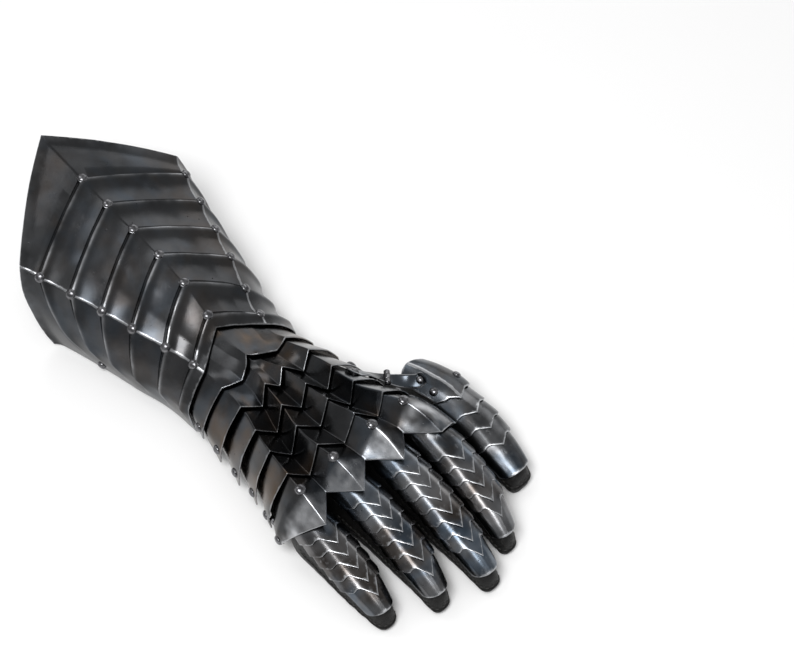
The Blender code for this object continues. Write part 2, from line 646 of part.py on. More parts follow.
def thumb_ring(x, shrink=1.0):
    """Points round the leather thumb at station x, outer side first."""
    top = thumb_skin(np.full(5, x), np.array([-1.5, -.8, 0, .8, 1.5]))
    middle = top[2, 1]
    top[:, 1] = middle + (top[:, 1] - middle) * shrink
    top[:, 2] = np.maximum(top[:, 2] - GLOVE_SLACK, LEAST_EAVE) * shrink
    outer, inner = top[0], top[4]
    shares = np.array([.62, .25])
    inside = np.stack([np.full(2, x), inner[1] - np.array([.3, .1]), inner[2] * shares], 1)
    outside = np.stack([np.full(2, x), outer[1] + np.array([.3, .1]), outer[2] * shares], 1)
    under_y = np.linspace(inner[1] + 2 * shrink, outer[1] - 2 * shrink, 5)
    under = np.stack([np.full(5, x), under_y, np.zeros(5)], 1)
    return np.concatenate([top, inside, under, outside[::-1]])


class Skein:
    """Points and faces of a surface made of rings joined to rings."""

    def __init__(self):
        self.points = []
        self.faces = []

    def ring(self, points):
        """Add points and return their numbers."""
        start = len(self.points)
        self.points.extend(points)
        return list(range(start, len(self.points)))

    def join(self, one, two, skip=()):
        """Quads between two rings, leaving out the listed spans."""
        count = len(one)
        for k in range(count):
            if k not in skip:
                after = (k + 1) % count
                self.faces.append((one[k], one[after], two[after], two[k]))

    def close(self, ring, tip):
        """Fan from a ring to a tip point."""
        self.points.append(tip)
        for k, number in enumerate(ring):
            self.faces.append((number, ring[(k + 1) % len(ring)], len(self.points) - 1))


def tube(skein, first, rings):
    """Run a closed finger from its first ring to a rounded tip."""
    for points in rings:
        following = skein.ring(points)
        skein.join(first, following)
        first = following
    tip = np.mean(rings[-1], 0) + (LEATHER_TIP * .12, 0, 0)
    skein.close(first, tip)


def tip_stations(end):
    """Stations and shrink of the rounded leather tip past a tip plate's end."""
    return [(end - 1.0, 1.0), (end + LEATHER_TIP * .45, .86), (end + LEATHER_TIP * .85, .55)]


def glove():
    """Hollow leather glove, open at its sleeve, flattened where it lies."""
    skein = Skein()
    rings = []
    for station in PALM_STATIONS:
        inset = SLEEVE_SLACK if station < SLEEVE_END else GLOVE_SLACK
        rings.append(skein.ring(palm_ring(station * LENGTH, inset)))
    first, last = THUMB_HOLE
    for k in range(len(rings) - 1):
        skip = THUMB_SPANS if first <= k < last else ()
        skein.join(rings[k], rings[k + 1], skip)
    add_fingers(skein, rings[-1])
    add_thumb(skein, rings[first:last + 1])
    obj = add_object("glove", skein.points, skein.faces, black_leather(), 70.0,
                     rings[0])
    wall = obj.modifiers.new("wall", "SOLIDIFY")
    wall.thickness = LEATHER * MM
    wall.offset = -1.0


def add_fingers(skein, web):
    """Four fingers from the last palm ring, sharing the webs between them."""
    web_x = skein.points[web[0]][0]
    top, thumb_side = web[:17], web[17:20]
    under, little_side = web[20:20 + UNDER_POINTS], web[20 + UNDER_POINTS:]
    left_web = thumb_side
    for k, row in enumerate(FINGERS):
        over = top[12 - 4 * k:17 - 4 * k]
        below = under[2 * k:2 * k + 3]
        if k == len(FINGERS) - 1:
            right_web = little_side[::-1]
        else:
            high, low = skein.points[over[0]], skein.points[below[-1]]
            shares = (.28, .58, .85)
            right_web = skein.ring([high + (low - high) * share for share in shares])
        loop = over + left_web + below + right_web[::-1]
        end = row[5] * LENGTH
        stations = np.linspace(web_x + 8, end - 12, 4)
        rings = [finger_ring(row, x) for x in stations]
        rings += [finger_ring(row, x, shrink) for x, shrink in tip_stations(end)]
        tube(skein, loop, rings)
        left_web = right_web


def add_thumb(skein, rings):
    """Thumb from the gap in the palm's thumb side: it leads outward, then turns forward."""
    over = [ring[19 - 2] for ring in rings]
    under = [ring[20] for ring in rings[::-1]]
    front = [rings[-1][18], rings[-1][19]]
    rear = [rings[0][19], rings[0][18]]
    loop = over + front + under + rear
    base = np.array([skein.points[number] for number in loop])
    root = thumb_ring(THUMB_ROOT * LENGTH)
    inner = []
    for share in (.18, .45, .74):
        out = 4 * share * (1 - share)
        points = base + (root - base) * share + np.array([-2.0, 3.0, 0]) * out
        points[:, 2] = np.maximum(base[:, 2] + (root[:, 2] - base[:, 2]) * share ** 2.2, 0)
        inner.append(points)
    end = THUMB_END * LENGTH
    stations = np.linspace(THUMB_ROOT * LENGTH + 14, end - 14, 3)
    inner += [root] + [thumb_ring(x) for x in stations]
    inner += [thumb_ring(x, shrink) for x, shrink in tip_stations(end)]
    tube(skein, loop, inner)


def main():
    """Build every piece."""
    for old in list(bpy.data.objects):
        bpy.data.objects.remove(old, do_unlink=True)
    cuff_plate()
    build_lames()
    build_knuckle_plate()
    build_finger_scales()
    build_thumb_plates()
    thumb_hinge()
    glove()


main()
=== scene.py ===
"""Looks of an armoured gauntlet: blackened steel plates over a black leather glove.

Every plate is a patch of one skin over forearm, hand, fingers and thumb, lifted off it along its
outward direction and given a wall with a rounded rim. Sizes are in millimetres inside the shape
functions, and turn to metres when a mesh is made. X runs from the cuff to the fingertips, +Y is
the thumb side, and the gauntlet rests on z = 0.
"""

import math

import bmesh
import bpy
import numpy as np
from bpy.props import FloatProperty, FloatVectorProperty, IntProperty, PointerProperty
from bpy.types import Operator, Panel, PropertyGroup
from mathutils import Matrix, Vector
from mathutils.bvhtree import BVHTree


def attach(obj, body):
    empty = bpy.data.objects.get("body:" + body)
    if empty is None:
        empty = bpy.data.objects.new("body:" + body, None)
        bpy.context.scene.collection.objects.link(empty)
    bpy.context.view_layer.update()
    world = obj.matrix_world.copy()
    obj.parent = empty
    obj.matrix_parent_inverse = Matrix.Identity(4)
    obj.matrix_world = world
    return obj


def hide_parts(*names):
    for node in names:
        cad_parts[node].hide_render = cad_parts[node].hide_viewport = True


bl_info = {
    "name": "Armoured gauntlet",
    "version": (1, 0, 0),
    "blender": (4, 5, 0),
    "location": "View3D > Sidebar > Gauntlet",
    "description": "Blackened steel gauntlet with ribbed cuff, lames and finger scales",
    "category": "Object",
}

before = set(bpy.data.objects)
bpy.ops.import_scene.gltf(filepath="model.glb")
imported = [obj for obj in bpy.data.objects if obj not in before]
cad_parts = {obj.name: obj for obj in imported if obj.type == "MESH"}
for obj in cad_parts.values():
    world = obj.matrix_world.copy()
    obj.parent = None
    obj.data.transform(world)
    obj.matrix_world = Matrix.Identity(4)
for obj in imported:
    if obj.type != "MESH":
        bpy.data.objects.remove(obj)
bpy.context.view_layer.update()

MM = 0.001

# Sizes shared with the solids
LENGTH = 404.0
ORIGIN = np.array((LENGTH / 2, 0, 0))
HALF_WIDTH = 88.0
HEIGHT = 95.0
STEEL = 1.1
LEATHER = 1.6
CLEARANCE = 0.3
LAME_GAP = 1.2
STEP = STEEL + LAME_GAP

# Cuff: (rear station, pitch) of the ribs on the middle fold, the outer ridges and the lower
# edges, and how far the rear edge runs back at four folds, in rib pitches
RIB_COUNT = 6
RIB_LINES = ((.0968, .0587), (.1634, .0532), (.2700, .0370))
REAR_EDGE = (-1.65, -.62, -1.25, -2.2)
CUFF_LIFT = 2.9
# Front edge in ribs, then mm: how far the flanks bow in, and the width of the turned border
CUFF_FRONT = RIB_COUNT - 1 + .62
CUFF_BOW = 0.7
BORDER = 7.5
RIVET_AFTER_RIB = .03
# Polish on a rib, which also paints the rib's highlight: how much, where beside its crest
# and how wide; then on the border, where it paints a bright highlight band
RIB_POLISH_AND_HIGHLIGHT, RIB_POLISH_AND_HIGHLIGHT_AT, RIB_POLISH_AND_HIGHLIGHT_WIDTH, BORDER_POLISH_AND_HIGHLIGHT = .45, .07, .05, .15
CUFF_LOW_RIVETS = (.6, .3)

# Stations as shares of LENGTH, then (side, height) of eleven lines as shares of HALF_WIDTH and
# HEIGHT, from the thumb's lower edge over the middle of the back to the little finger's
SECTIONS = (
    (0.000, (.838, .004), (.846, .360), (.862, .700), (.580, .762), (.290, .828), (.000, .895),
     (-.290, .828), (-.580, .762), (-.862, .700), (-.846, .360), (-.838, .004)),
    (0.170, (.668, .004), (.700, .300), (.632, .596), (.425, .657), (.212, .710), (.000, .758),
     (-.212, .710), (-.425, .657), (-.632, .596), (-.700, .300), (-.668, .004)),
    (0.340, (.500, .004), (.550, .245), (.402, .492), (.270, .545), (.135, .586), (.000, .622),
     (-.135, .586), (-.270, .545), (-.402, .492), (-.550, .245), (-.500, .004)),
    (0.450, (.430, .004), (.465, .220), (.262, .428), (.170, .462), (.060, .490), (-.035, .500),
     (-.100, .480), (-.190, .455), (-.278, .422), (-.465, .220), (-.430, .004)),
    (0.500, (.430, .004), (.470, .228), (.268, .455), (.145, .472), (.020, .505), (-.025, .503),
     (-.065, .492), (-.160, .450), (-.290, .435), (-.482, .218), (-.438, .004)),
    (0.550, (.440, .004), (.485, .250), (.290, .510), (.170, .452), (.052, .562), (-.026, .478),
     (-.105, .525), (-.175, .418), (-.325, .462), (-.500, .230), (-.450, .004)),
    (0.600, (.455, .004), (.518, .265), (.298, .560), (.192, .455), (.056, .600), (-.038, .482),
     (-.158, .568), (-.242, .415), (-.400, .502), (-.540, .240), (-.478, .004)),
    (0.653, (.470, .004), (.550, .280), (.315, .598), (.215, .470), (.070, .632), (-.055, .492),
     (-.218, .600), (-.315, .428), (-.464, .540), (-.580, .250), (-.505, .004)),
    (0.715, (.520, .004), (.655, .275), (.430, .585), (.290, .478), (.138, .606), (-.030, .487),
     (-.205, .588), (-.350, .437), (-.505, .520), (-.672, .240), (-.550, .004)),
    (0.790, (.540, .004), (.705, .250), (.500, .470), (.330, .360), (.150, .480), (-.020, .370),
     (-.190, .456), (-.360, .320), (-.530, .388), (-.712, .200), (-.560, .004)),
)
LINE_COUNT = 11
BULGE = np.array((.03, .06, 0, 0, 0, 0, 0, 0, .06, .03))
CENTRE, THUMB_RIDGE, LITTLE_RIDGE = 5, 2, 8
HAND_LINES = (0, .5, 1, 1.5, 2, 3, 4, 5, 6, 7, 8, 8.5, 9, 9.5, 10)
# Lines where plates over the hand fold
FOLDS = (2, 3, 4, 5, 6, 7, 8)

# Lames: front station, how far its middle runs back, ridges, end line on the thumb's side,
# lines of the corner rivets
LAMES = (
    ("wrist_lame_1", .503, .024, (2, 8), .5, (.85, 9.15)),
    ("wrist_lame_2", .554, .000, (2, 4, 6, 8), .5, (.85, 9.15)),
    ("hand_lame_1", .605, .000, (2, 4, 6, 8), 1.0, (1.3, 9.15)),
    ("hand_lame_2", .649, .000, (2, 4, 6, 8), 1.0, (1.3, 9.15)),
    ("hand_lame_3", .694, .000, (2, 4, 6, 8), 1.0, (1.3, 9.15)),
)
LAME_OVERLAP = 7.0
LAME_DIP = 5.0
LAME_SWEEP = 3.0
LAME_RIVET_INSET = 5.0
LITTLE_EDGE = 9.5

COVER_LIFT = 2 * STEP + 0.2
KNUCKLES = (2, 4, 6, 8)
# Lines of the plate's sides, mm its faces are hollowed, and stations of its polished front,
# where the polish also paints the plate's highlight patches
KNUCKLE_ENDS = (1.2, 9.3)
KNUCKLE_HOLLOW = 0.4
KNUCKLE_POLISH_AND_HIGHLIGHT_RAMP = (.722, .734)
# Strength of that polish and painted highlight, and how much of it fades away from the ridges
KNUCKLE_POLISH_AND_HIGHLIGHT, KNUCKLE_POLISH_AND_HIGHLIGHT_FADE = 1.1, .75
KNUCKLE_FADE_IN = 8
KNUCKLE_FRONT, KNUCKLE_FRONT_CUT = .775, .038
KNUCKLE_TURN_LINES = (1, 2, 8, 9)
KNUCKLE_TURN = (.012, .006, -.004, -.020)
KNUCKLE_OUTER_SHARE = .6
KNUCKLE_CLIMB = .2
KNUCKLE_RIVETS = ((.716, 2), (.716, 4), (.716, 6), (.716, 8), (.693, 9.1), (.722, 9.1),
                  (.700, 1.3))

# Fingers: knuckle side, tip side, ridge height, first point, tip end, number of scales, bow
FINGERS = (
    ("index", .485, .425, .462, .828, .942, 5, .055),
    ("middle", .175, .135, .482, .808, .969, 7, .025),
    ("ring", -.180, -.215, .457, .804, .943, 6, .035),
    ("little", -.530, -.565, .386, .800, .909, 5, .010),
)
FINGER_ROOT_X = 0.735
FINGER_ROOT_RISE = 0.055
FINGER_COVER = 0.747
FINGER_HALF_WIDTH = 10.6
FINGER_NARROWING = 0.42
FINGER_FULL_UNTIL = 0.50
FINGER_TIP_HEIGHT = 16.0
FINGER_DROP = 13.0
LEATHER_TIP = 3.2
SCALE_LINES = np.array([-1.5, -1.1, -.58, -.28, 0, .28, .58, 1.1, 1.5])
# Line of a finger's lower edge; the ridge is line 0
EAVE = 1.5
SCALE_POINT = 18.0
SCALE_EDGE = ((0, 0), (.187, .30), (.387, .56), (.60, .60), (.733, .74), (1, 1))
SCALE_STEEL = 1.0
SCALE_STEP = SCALE_STEEL + 0.4
SCALE_OVERLAP = 6.0
TIP_PLATE_RISE = 0.5
TIP_PLATE_ROUND = 8.0

THUMB_ROWS = (
    (.600, .745, .350), (.680, .858, .340), (.745, .888, .312), (.820, .880, .240),
    (.880, .842, .165), (.925, .805, .120),
)
THUMB_HALF_WIDTH = 13.5
THUMB_DROP = 15.0
THUMB_NARROWING = 0.36
THUMB_PLATE_REAR, THUMB_PLATE_CUT = .640, .012
THUMB_PLATE_INNER = .55
THUMB_PLATE_RISE, THUMB_PLATE_DOME = 2.4, 1.2
THUMB_RIVETS = ((.704, .5), (.704, -.8))
THUMB_RIVET_SIZE = .85
THUMB_FRONTS = (.742, .774, .804, .834)
THUMB_END = .878
THUMB_POINT = 10.0
HINGE_STOPS = ((.618, 1.8), (.626, 1.4), (.664, .6), (.678, .2))
HINGE_LIFTS = (5.4, 5.2)
# Hinge in mm: leaves, then spans and radii of its three knuckles and of the pin
HINGE_HALF_WIDTH = 4.4
HINGE_KNUCKLES = ((-5.2, -2.0), (-1.75, 1.75), (2.0, 5.2))
HINGE_BARREL_RISE = 1.9
HINGE_KNUCKLE_RADII = (1.75, 2.0, 2.0, 1.75)
HINGE_PIN = (-6.1, -5.9, -5.3, 5.3, 5.9, 6.1)
HINGE_PIN_RADII = (.5, 1.1, 1.2, 1.2, 1.1, .5)

PALM_STATIONS = (.335, .415, .450, .480, .510, .538, .562, .586, .610, .635, .660, .685, .706)
SLEEVE_END = .42
SLEEVE_SLACK = 2.0
GLOVE_SLACK = 0.9
UNDER_POINTS = 9
LEAST_EAVE = 5.0
SIDE_LINES = (.72, .42, .15)
RING_LINES = (-1.5, -.8, 0, .8, 1.5)
THUMB_HOLE = (6, 10)
THUMB_SPANS = (17, 18, 19)
THUMB_ROOT = .715

# Wear of the scales' edges: least share of it, and how far from the ridge it fades
RUBBED_LEAST, RUBBED_REACH = .35, .62

# Rows of a rounded rim, mm from the edge
RIM_ROWS = np.array([0, .12, .3, .6])
CREASE_ROWS = np.array([-1.5, -.9, -.5, -.2, 0, .2, .5, .9, 1.5])


class GauntletForm(PropertyGroup):
    """Sizes a user may change."""

    rib_rise: FloatProperty(
        name="Rib rise", description="Height of the cuff's embossed ribs",
        default=.0024, min=0, max=.004, unit="LENGTH")
    border_flare: FloatProperty(
        name="Border flare", description="How far the cuff's rear border turns out",
        default=.0024, min=0, max=.005, unit="LENGTH")
    rivet_radius: FloatProperty(
        name="Rivet radius", description="Radius of a domed rivet head",
        default=.0031, min=.001, max=.005, unit="LENGTH")
    unevenness: FloatProperty(
        name="Unevenness", description="Depth of the hollows left by hand forming",
        default=.00016, min=0, max=.001, unit="LENGTH")
    fold_depth: FloatProperty(
        name="Fold depth", description="Depth of the folds in the leather",
        default=.0011, min=0, max=.003, unit="LENGTH")
    stitch_pitch: FloatProperty(
        name="Stitch pitch", description="Distance from one stitch to the next",
        default=.0032, min=.001, max=.01, unit="LENGTH")
    rivet_sides: IntProperty(
        name="Rivet sides", description="Sides round a rivet head", default=24, min=8, max=48)


class GauntletFinish(PropertyGroup):
    """Colours a user may change."""

    black_steel: FloatVectorProperty(
        name="Blackened steel", description="Reflection colour of the black finish",
        default=(.038, .039, .041), min=0, max=1, size=3, subtype="COLOR")
    bare_steel: FloatVectorProperty(
        name="Bare steel", description="Reflection colour where the black is worn off",
        default=(.52, .53, .55), min=0, max=1, size=3, subtype="COLOR")
    warm_tint: FloatVectorProperty(
        name="Warm tint", description="Brown of the thin oil finish",
        default=(.075, .050, .031), min=0, max=1, size=3, subtype="COLOR")
    cool_tint: FloatVectorProperty(
        name="Cool tint", description="Blue left by the heat",
        default=(.055, .082, .115), min=0, max=1, size=3, subtype="COLOR")
    leather: FloatVectorProperty(
        name="Leather", description="Colour of the glove",
        default=(.0032, .0030, .0029), min=0, max=1, size=3, subtype="COLOR")
    thread: FloatVectorProperty(
        name="Thread", description="Colour of the stitching",
        default=(.022, .021, .020), min=0, max=1, size=3, subtype="COLOR")
    floor: FloatVectorProperty(
        name="Floor", description="Colour of the studio floor",
        default=(.92, .92, .92), min=0, max=1, size=3, subtype="COLOR")


# Curves and skins

def hermite(stations, values, x):
    """Smooth curve through a table: each cell blends the two tangent lines at its ends with the
    cubic 3f^2 - 2f^3; outside the table it runs on straight."""
    stations = np.asarray(stations, float)
    values = np.asarray(values, float)
    gap = np.diff(stations)
    chord = np.diff(values) / gap
    slope = np.empty_like(values)
    slope[0], slope[-1] = chord[0], chord[-1]
    slope[1:-1] = (chord[:-1] * gap[1:] + chord[1:] * gap[:-1]) / (gap[:-1] + gap[1:])
    cell = np.clip(np.searchsorted(stations, x) - 1, 0, len(gap) - 1)
    width = gap[cell]
    f = (x - stations[cell]) / width
    before = values[cell] + slope[cell] * width * f
    after = values[cell + 1] - slope[cell + 1] * width * (1 - f)
    blend = f * f * (3 - 2 * f)
    inside = before * (1 - blend) + after * blend
    return np.where(f < 0, values[0] + slope[0] * (x - stations[0]),
                    np.where(f > 1, values[-1] + slope[-1] * (x - stations[-1]), inside))


def hand_place(x, t):
    """Forearm and hand: at station x the section is a polyline through eleven lines, each face
    bowed out by 4f(1 - f) times its bulge."""
    x, t = np.broadcast_arrays(np.asarray(x, float), np.asarray(t, float))
    stations = [row[0] * LENGTH for row in SECTIONS]
    sides = np.stack([hermite(stations, [row[1 + k][0] * HALF_WIDTH for row in SECTIONS], x)
                      for k in range(LINE_COUNT)], -1)
    heights = np.stack([hermite(stations, [row[1 + k][1] * HEIGHT for row in SECTIONS], x)
                        for k in range(LINE_COUNT)], -1)
    low = np.clip(np.floor(t).astype(int), 0, LINE_COUNT - 2)
    f = t - low

    def pick(table, index):
        return np.take_along_axis(table, index[..., None], -1)[..., 0]

    y0, y1 = pick(sides, low), pick(sides, low + 1)
    z0, z1 = pick(heights, low), pick(heights, low + 1)
    bulge = BULGE[low] * 4 * f * (1 - f)
    return np.stack([x, y0 + (y1 - y0) * f - (z0 - z1) * bulge,
                     z0 + (z1 - z0) * f + (y0 - y1) * bulge], -1)


def gable(x, t, side, height, width, drop):
    """Ridged roof: sharp along t = 0, its flanks curving down to the eaves at 1.5."""
    share = np.abs(t) / EAVE
    stops = (0, .42, .74, 1)
    across = np.sign(t) * np.clip(hermite(stops, (0, .58, .92, 1.0), share), 0, 1)
    fall = hermite(stops, (0, .28, .64, 1.0), share)
    return np.stack([x, side - across * width, height - fall * drop], -1)


def finger_place(row):
    """Place on one finger's skin; t runs from -1.5 on the thumb's side to 1.5."""
    start, end = FINGER_ROOT_X * LENGTH, row[5] * LENGTH
    top = (row[3] + FINGER_ROOT_RISE) * HEIGHT

    def place(x, t):
        x, t = np.broadcast_arrays(np.asarray(x, float), np.asarray(t, float))
        free = (x - start) / (end - start)
        u = np.clip(free, 0, 1.2)
        side = HALF_WIDTH * (row[1] + (row[2] - row[1]) * u + row[7] * 4 * u * (1 - u))
        tip = np.clip((u - FINGER_FULL_UNTIL) / (1 - FINGER_FULL_UNTIL), 0, 1.2)
        width = FINGER_HALF_WIDTH * (1 - FINGER_NARROWING * tip ** 1.7)
        fall = .86 * free + .14 * np.clip(free, 0, None) ** 4
        height = top - (top - FINGER_TIP_HEIGHT) * fall
        return gable(x, t, side, height, width, FINGER_DROP * (1 - .38 * u))
    return place


def thumb_place(x, t):
    """Place on the thumb's skin; t runs from -1.5 on the outside to 1.5 next to the hand."""
    x, t = np.broadcast_arrays(np.asarray(x, float), np.asarray(t, float))
    stations = [row[0] * LENGTH for row in THUMB_ROWS]
    side = hermite(stations, [row[1] * HALF_WIDTH for row in THUMB_ROWS], x)
    height = hermite(stations, [row[2] * HEIGHT for row in THUMB_ROWS], x)
    u = np.clip((x - stations[0]) / (THUMB_END * LENGTH - stations[0]), 0, 1.2)
    return gable(x, t, side, height, THUMB_HALF_WIDTH * (1 - THUMB_NARROWING * u ** 3),
                 THUMB_DROP * (1 - .42 * u))


class Skin:
    """A surface that plates follow, with the lines where its outward direction is taken."""

    def __init__(self, place, lines, softness):
        self.place = place
        self.lines = np.array(lines, float)
        self.softness = softness

    def at(self, x, t):
        """The surface with its creases rounded: the mean of five places close together."""
        x, t = np.broadcast_arrays(np.asarray(x, float), np.asarray(t, float))
        room = np.minimum(t - self.lines[0], self.lines[-1] - t)
        reach = np.clip(room, 0, self.softness)
        total = 0.0
        for share, weight in ((-1, 1), (-.5, 2), (0, 2), (.5, 2), (1, 1)):
            total = total + self.place(x, t + share * reach) * weight
        return total / 8

    def crease_out(self, x, t):
        """Outward direction on a line: the mean of the normals on both sides of it."""
        dx, dt = .5, .04
        along = self.place(x + dx, t) - self.place(x - dx, t)
        here = self.place(x, t)
        total = 0.0
        for step in (-dt, dt):
            beside = np.clip(t + step, self.lines[0], self.lines[-1])
            usable = np.abs(beside - t) > 1e-9
            other = np.where(usable, beside, t - step)
            side = (self.place(x, other) - here) * np.where(usable, 1, -1)[..., None]
            face = np.cross(side * np.sign(step), along)
            total = total + face / np.linalg.norm(face, axis=-1, keepdims=True)
        return total / np.linalg.norm(total, axis=-1, keepdims=True)

    def out(self, x, t):
        """Outward direction anywhere: straight blend between those of the two lines beside."""
        x, t = np.broadcast_arrays(np.asarray(x, float), np.asarray(t, float))
        low = np.clip(np.searchsorted(self.lines, t, side="right") - 1, 0, len(self.lines) - 2)
        a, b = self.lines[low], self.lines[low + 1]
        f = ((t - a) / (b - a))[..., None]
        return self.crease_out(x, a) * (1 - f) + self.crease_out(x, b) * f


HAND = Skin(hand_place, HAND_LINES, .035)
THUMB = Skin(thumb_place, SCALE_LINES, .08)


def unevenness(points):
    """Hand-formed hollows, -1 to 1: a sum of slow sines that run in five directions."""
    waves = ((.11, .05, .02, 0), (-.04, .16, .07, 1.3), (.21, -.13, .10, 2.1),
             (.07, .29, -.18, .4), (-.33, .12, .25, 3.7))
    total = 0.0
    for a, b, c, phase in waves:
        angle = points[..., 0] * a + points[..., 1] * b + points[..., 2] * c + phase
        total = total + np.sin(angle + .8 * np.sin(angle * .37 + phase))
    return total / len(waves)


# Meshes

def grid_quads(rows, columns, start=0, flip=False):
    """Quads of a grid of points numbered row by row."""
    r, c = np.meshgrid(np.arange(rows - 1), np.arange(columns - 1), indexing="ij")
    a = (start + r * columns + c).ravel()
    quads = np.stack([a, a + 1, a + columns + 1, a + columns], 1)
    return quads[:, ::-1] if flip else quads


def rim_quads(rows, columns):
    """Quads that join the rims of two grids numbered one after the other."""
    first = np.arange(columns)
    right = np.arange(1, rows) * columns + columns - 1
    last = (rows - 1) * columns + np.arange(columns - 2, -1, -1)
    left = np.arange(rows - 2, 0, -1) * columns
    rim = np.concatenate([first, right, last, left])
    after = np.roll(rim, -1)
    count = rows * columns
    return np.stack([after, rim, rim + count, after + count], 1)


def sheet(outer, inner):
    """Points and faces of a closed sheet between two grids of the same size."""
    rows, columns = outer.shape[:2]
    faces = np.concatenate([grid_quads(rows, columns), rim_quads(rows, columns),
                            grid_quads(rows, columns, rows * columns, True)])
    return np.concatenate([outer.reshape(-1, 3), inner.reshape(-1, 3)]), faces


def ring_quads(rings, sides):
    """Quads between rings of points numbered one ring after the other."""
    r, c = np.meshgrid(np.arange(rings - 1), np.arange(sides), indexing="ij")
    a, b = (r * sides + c).ravel(), (r * sides + (c + 1) % sides).ravel()
    return np.stack([a, b, b + sides, a + sides], 1)


def face_outward(mesh, opened=False):
    """Turn all faces outward. If opened, the last face only closed the mesh, and is taken out."""
    work = bmesh.new()
    work.from_mesh(mesh)
    bmesh.ops.recalc_face_normals(work, faces=work.faces)
    if work.calc_volume(signed=True) < 0:
        bmesh.ops.reverse_faces(work, faces=work.faces)
    if opened:
        work.faces.ensure_lookup_table()
        bmesh.ops.delete(work, geom=[work.faces[-1]], context="FACES_ONLY")
    work.to_mesh(mesh)
    work.free()


def add_object(name, points, faces, mat, sharp=40.0, run=None, marks=()):
    """Mesh object from points in mm. Run gives each point's place on its plate in metres, kept
    as a UV map; marks are (name, values) pairs kept as attributes of the points."""
    mesh = bpy.data.meshes.new(name)
    placed = (np.asarray(points, float) - ORIGIN) * MM
    mesh.from_pydata(placed.tolist(), [], [tuple(face) for face in faces])
    mesh.polygons.foreach_set("use_smooth", [True] * len(mesh.polygons))
    mesh.set_sharp_from_angle(angle=math.radians(sharp))
    if run is not None:
        corners = np.empty(len(mesh.loops), np.int32)
        mesh.loops.foreach_get("vertex_index", corners)
        layer = mesh.uv_layers.new(name="plate")
        layer.data.foreach_set("uv", np.asarray(run, np.float32)[corners].ravel())
    for label, values in marks:
        mark = mesh.attributes.new(label, "FLOAT", "POINT")
        mark.data.foreach_set("value", np.asarray(values, np.float32).ravel())
    mesh.materials.append(mat)
    obj = bpy.data.objects.new(name, mesh)
    bpy.context.scene.collection.objects.link(obj)
    return obj


def belongs(obj, slot, *nodes):
    """Ties a piece to the part: its body and the solids it stands for. Its material slot is not
    used.
    """
    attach(obj, "root")
    if nodes:
        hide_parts(*nodes)
    return obj


def columns_for(low, high, crests, width, pitch):
    """Line numbers of a plate's columns: even, with more beside its crests and its rims. Width
    is the mm from one line to the next."""
    extra = [crest + CREASE_ROWS / width for crest in crests]
    extra += [low + RIM_ROWS / width, high - RIM_ROWS / width]
    extra = np.concatenate(extra)
    even = np.linspace(low, high, max(int((high - low) * width / pitch), 4))
    apart = np.min(np.abs(even[:, None] - extra), 1)
    t = np.sort(np.concatenate([even[apart > .45 * pitch / width], extra]))
    t = t[(t >= low) & (t <= high)]
    return t[np.concatenate([[True], np.diff(t) > .02 / width])]


def rows_for(length, count):
    """Shares of a plate's length: even, with more beside both rims."""
    inner = np.linspace(1.2 / length, 1 - 1.2 / length, count)
    return np.concatenate([RIM_ROWS / length, inner, 1 - RIM_ROWS[::-1] / length])


def steel_plate(name, skin, x, t, lift, mat, thickness=STEEL, crests=(), polish_and_highlight=0.0,
                exposed=1.0):
    """Closed plate over a skin. Outer side: skin + out * (lift + thickness - fall), where fall
    rounds the last half thickness before the rim as a quarter circle does. Inner side: skin +
    out * (lift + fall / 3). Lift also carries the slow unevenness of hand work. Exposed scales
    the wear of the rims."""
    base = skin.at(x, t)
    out = skin.out(x, t)
    form = bpy.context.scene.gauntlet_form
    lift = np.broadcast_to(lift, x.shape) + unevenness(base) * form.unevenness / MM
    steps = np.linalg.norm(np.diff(base, axis=0), axis=-1)
    along = np.concatenate([np.zeros((1, x.shape[1])), np.cumsum(steps, 0)])
    steps = np.linalg.norm(np.diff(base, axis=1), axis=-1)
    across = np.concatenate([np.zeros((x.shape[0], 1)), np.cumsum(steps, 1)], 1)
    rim = np.minimum.reduce([along, along[-1] - along, across, across[:, -1:] - across])
    bend = thickness / 2
    inward = bend - np.minimum(rim, bend)
    fall = bend - np.sqrt(bend ** 2 - inward ** 2)
    outer = base + out * (lift + thickness - fall)[..., None]
    inner = base + out * (lift + fall / 3)[..., None]
    wear = np.exp(-rim / 1.0) * exposed
    # Wear along the given crests; on the cuff's outer ridges it also paints the bright highlight
    # line of those creases
    for crest in crests:
        column = int(np.argmin(np.abs(t[0] - crest)))
        if abs(t[0, column] - crest) < .05:
            near = np.abs(across - across[:, column:column + 1])
            wear = np.maximum(wear, np.exp(-(near / 1.1) ** 2))
    run = np.stack([across, along], -1).reshape(-1, 2) * MM
    points, faces = sheet(outer, inner)
    points[:, 2] = np.maximum(points[:, 2], 0)
    inside = np.zeros(x.size)
    # Per-point polish, which also paints highlights, kept as an attribute beside the wear
    polish_and_highlight = np.broadcast_to(polish_and_highlight, x.shape).ravel()
    obj = add_object(name, points, faces, mat, 40.0, np.concatenate([run, run]),
                     (("wear", np.concatenate([wear.ravel(), inside])),
                      ("polish_and_highlight", np.concatenate([polish_and_highlight, inside]))))
    return belongs(obj, "blackened_steel")


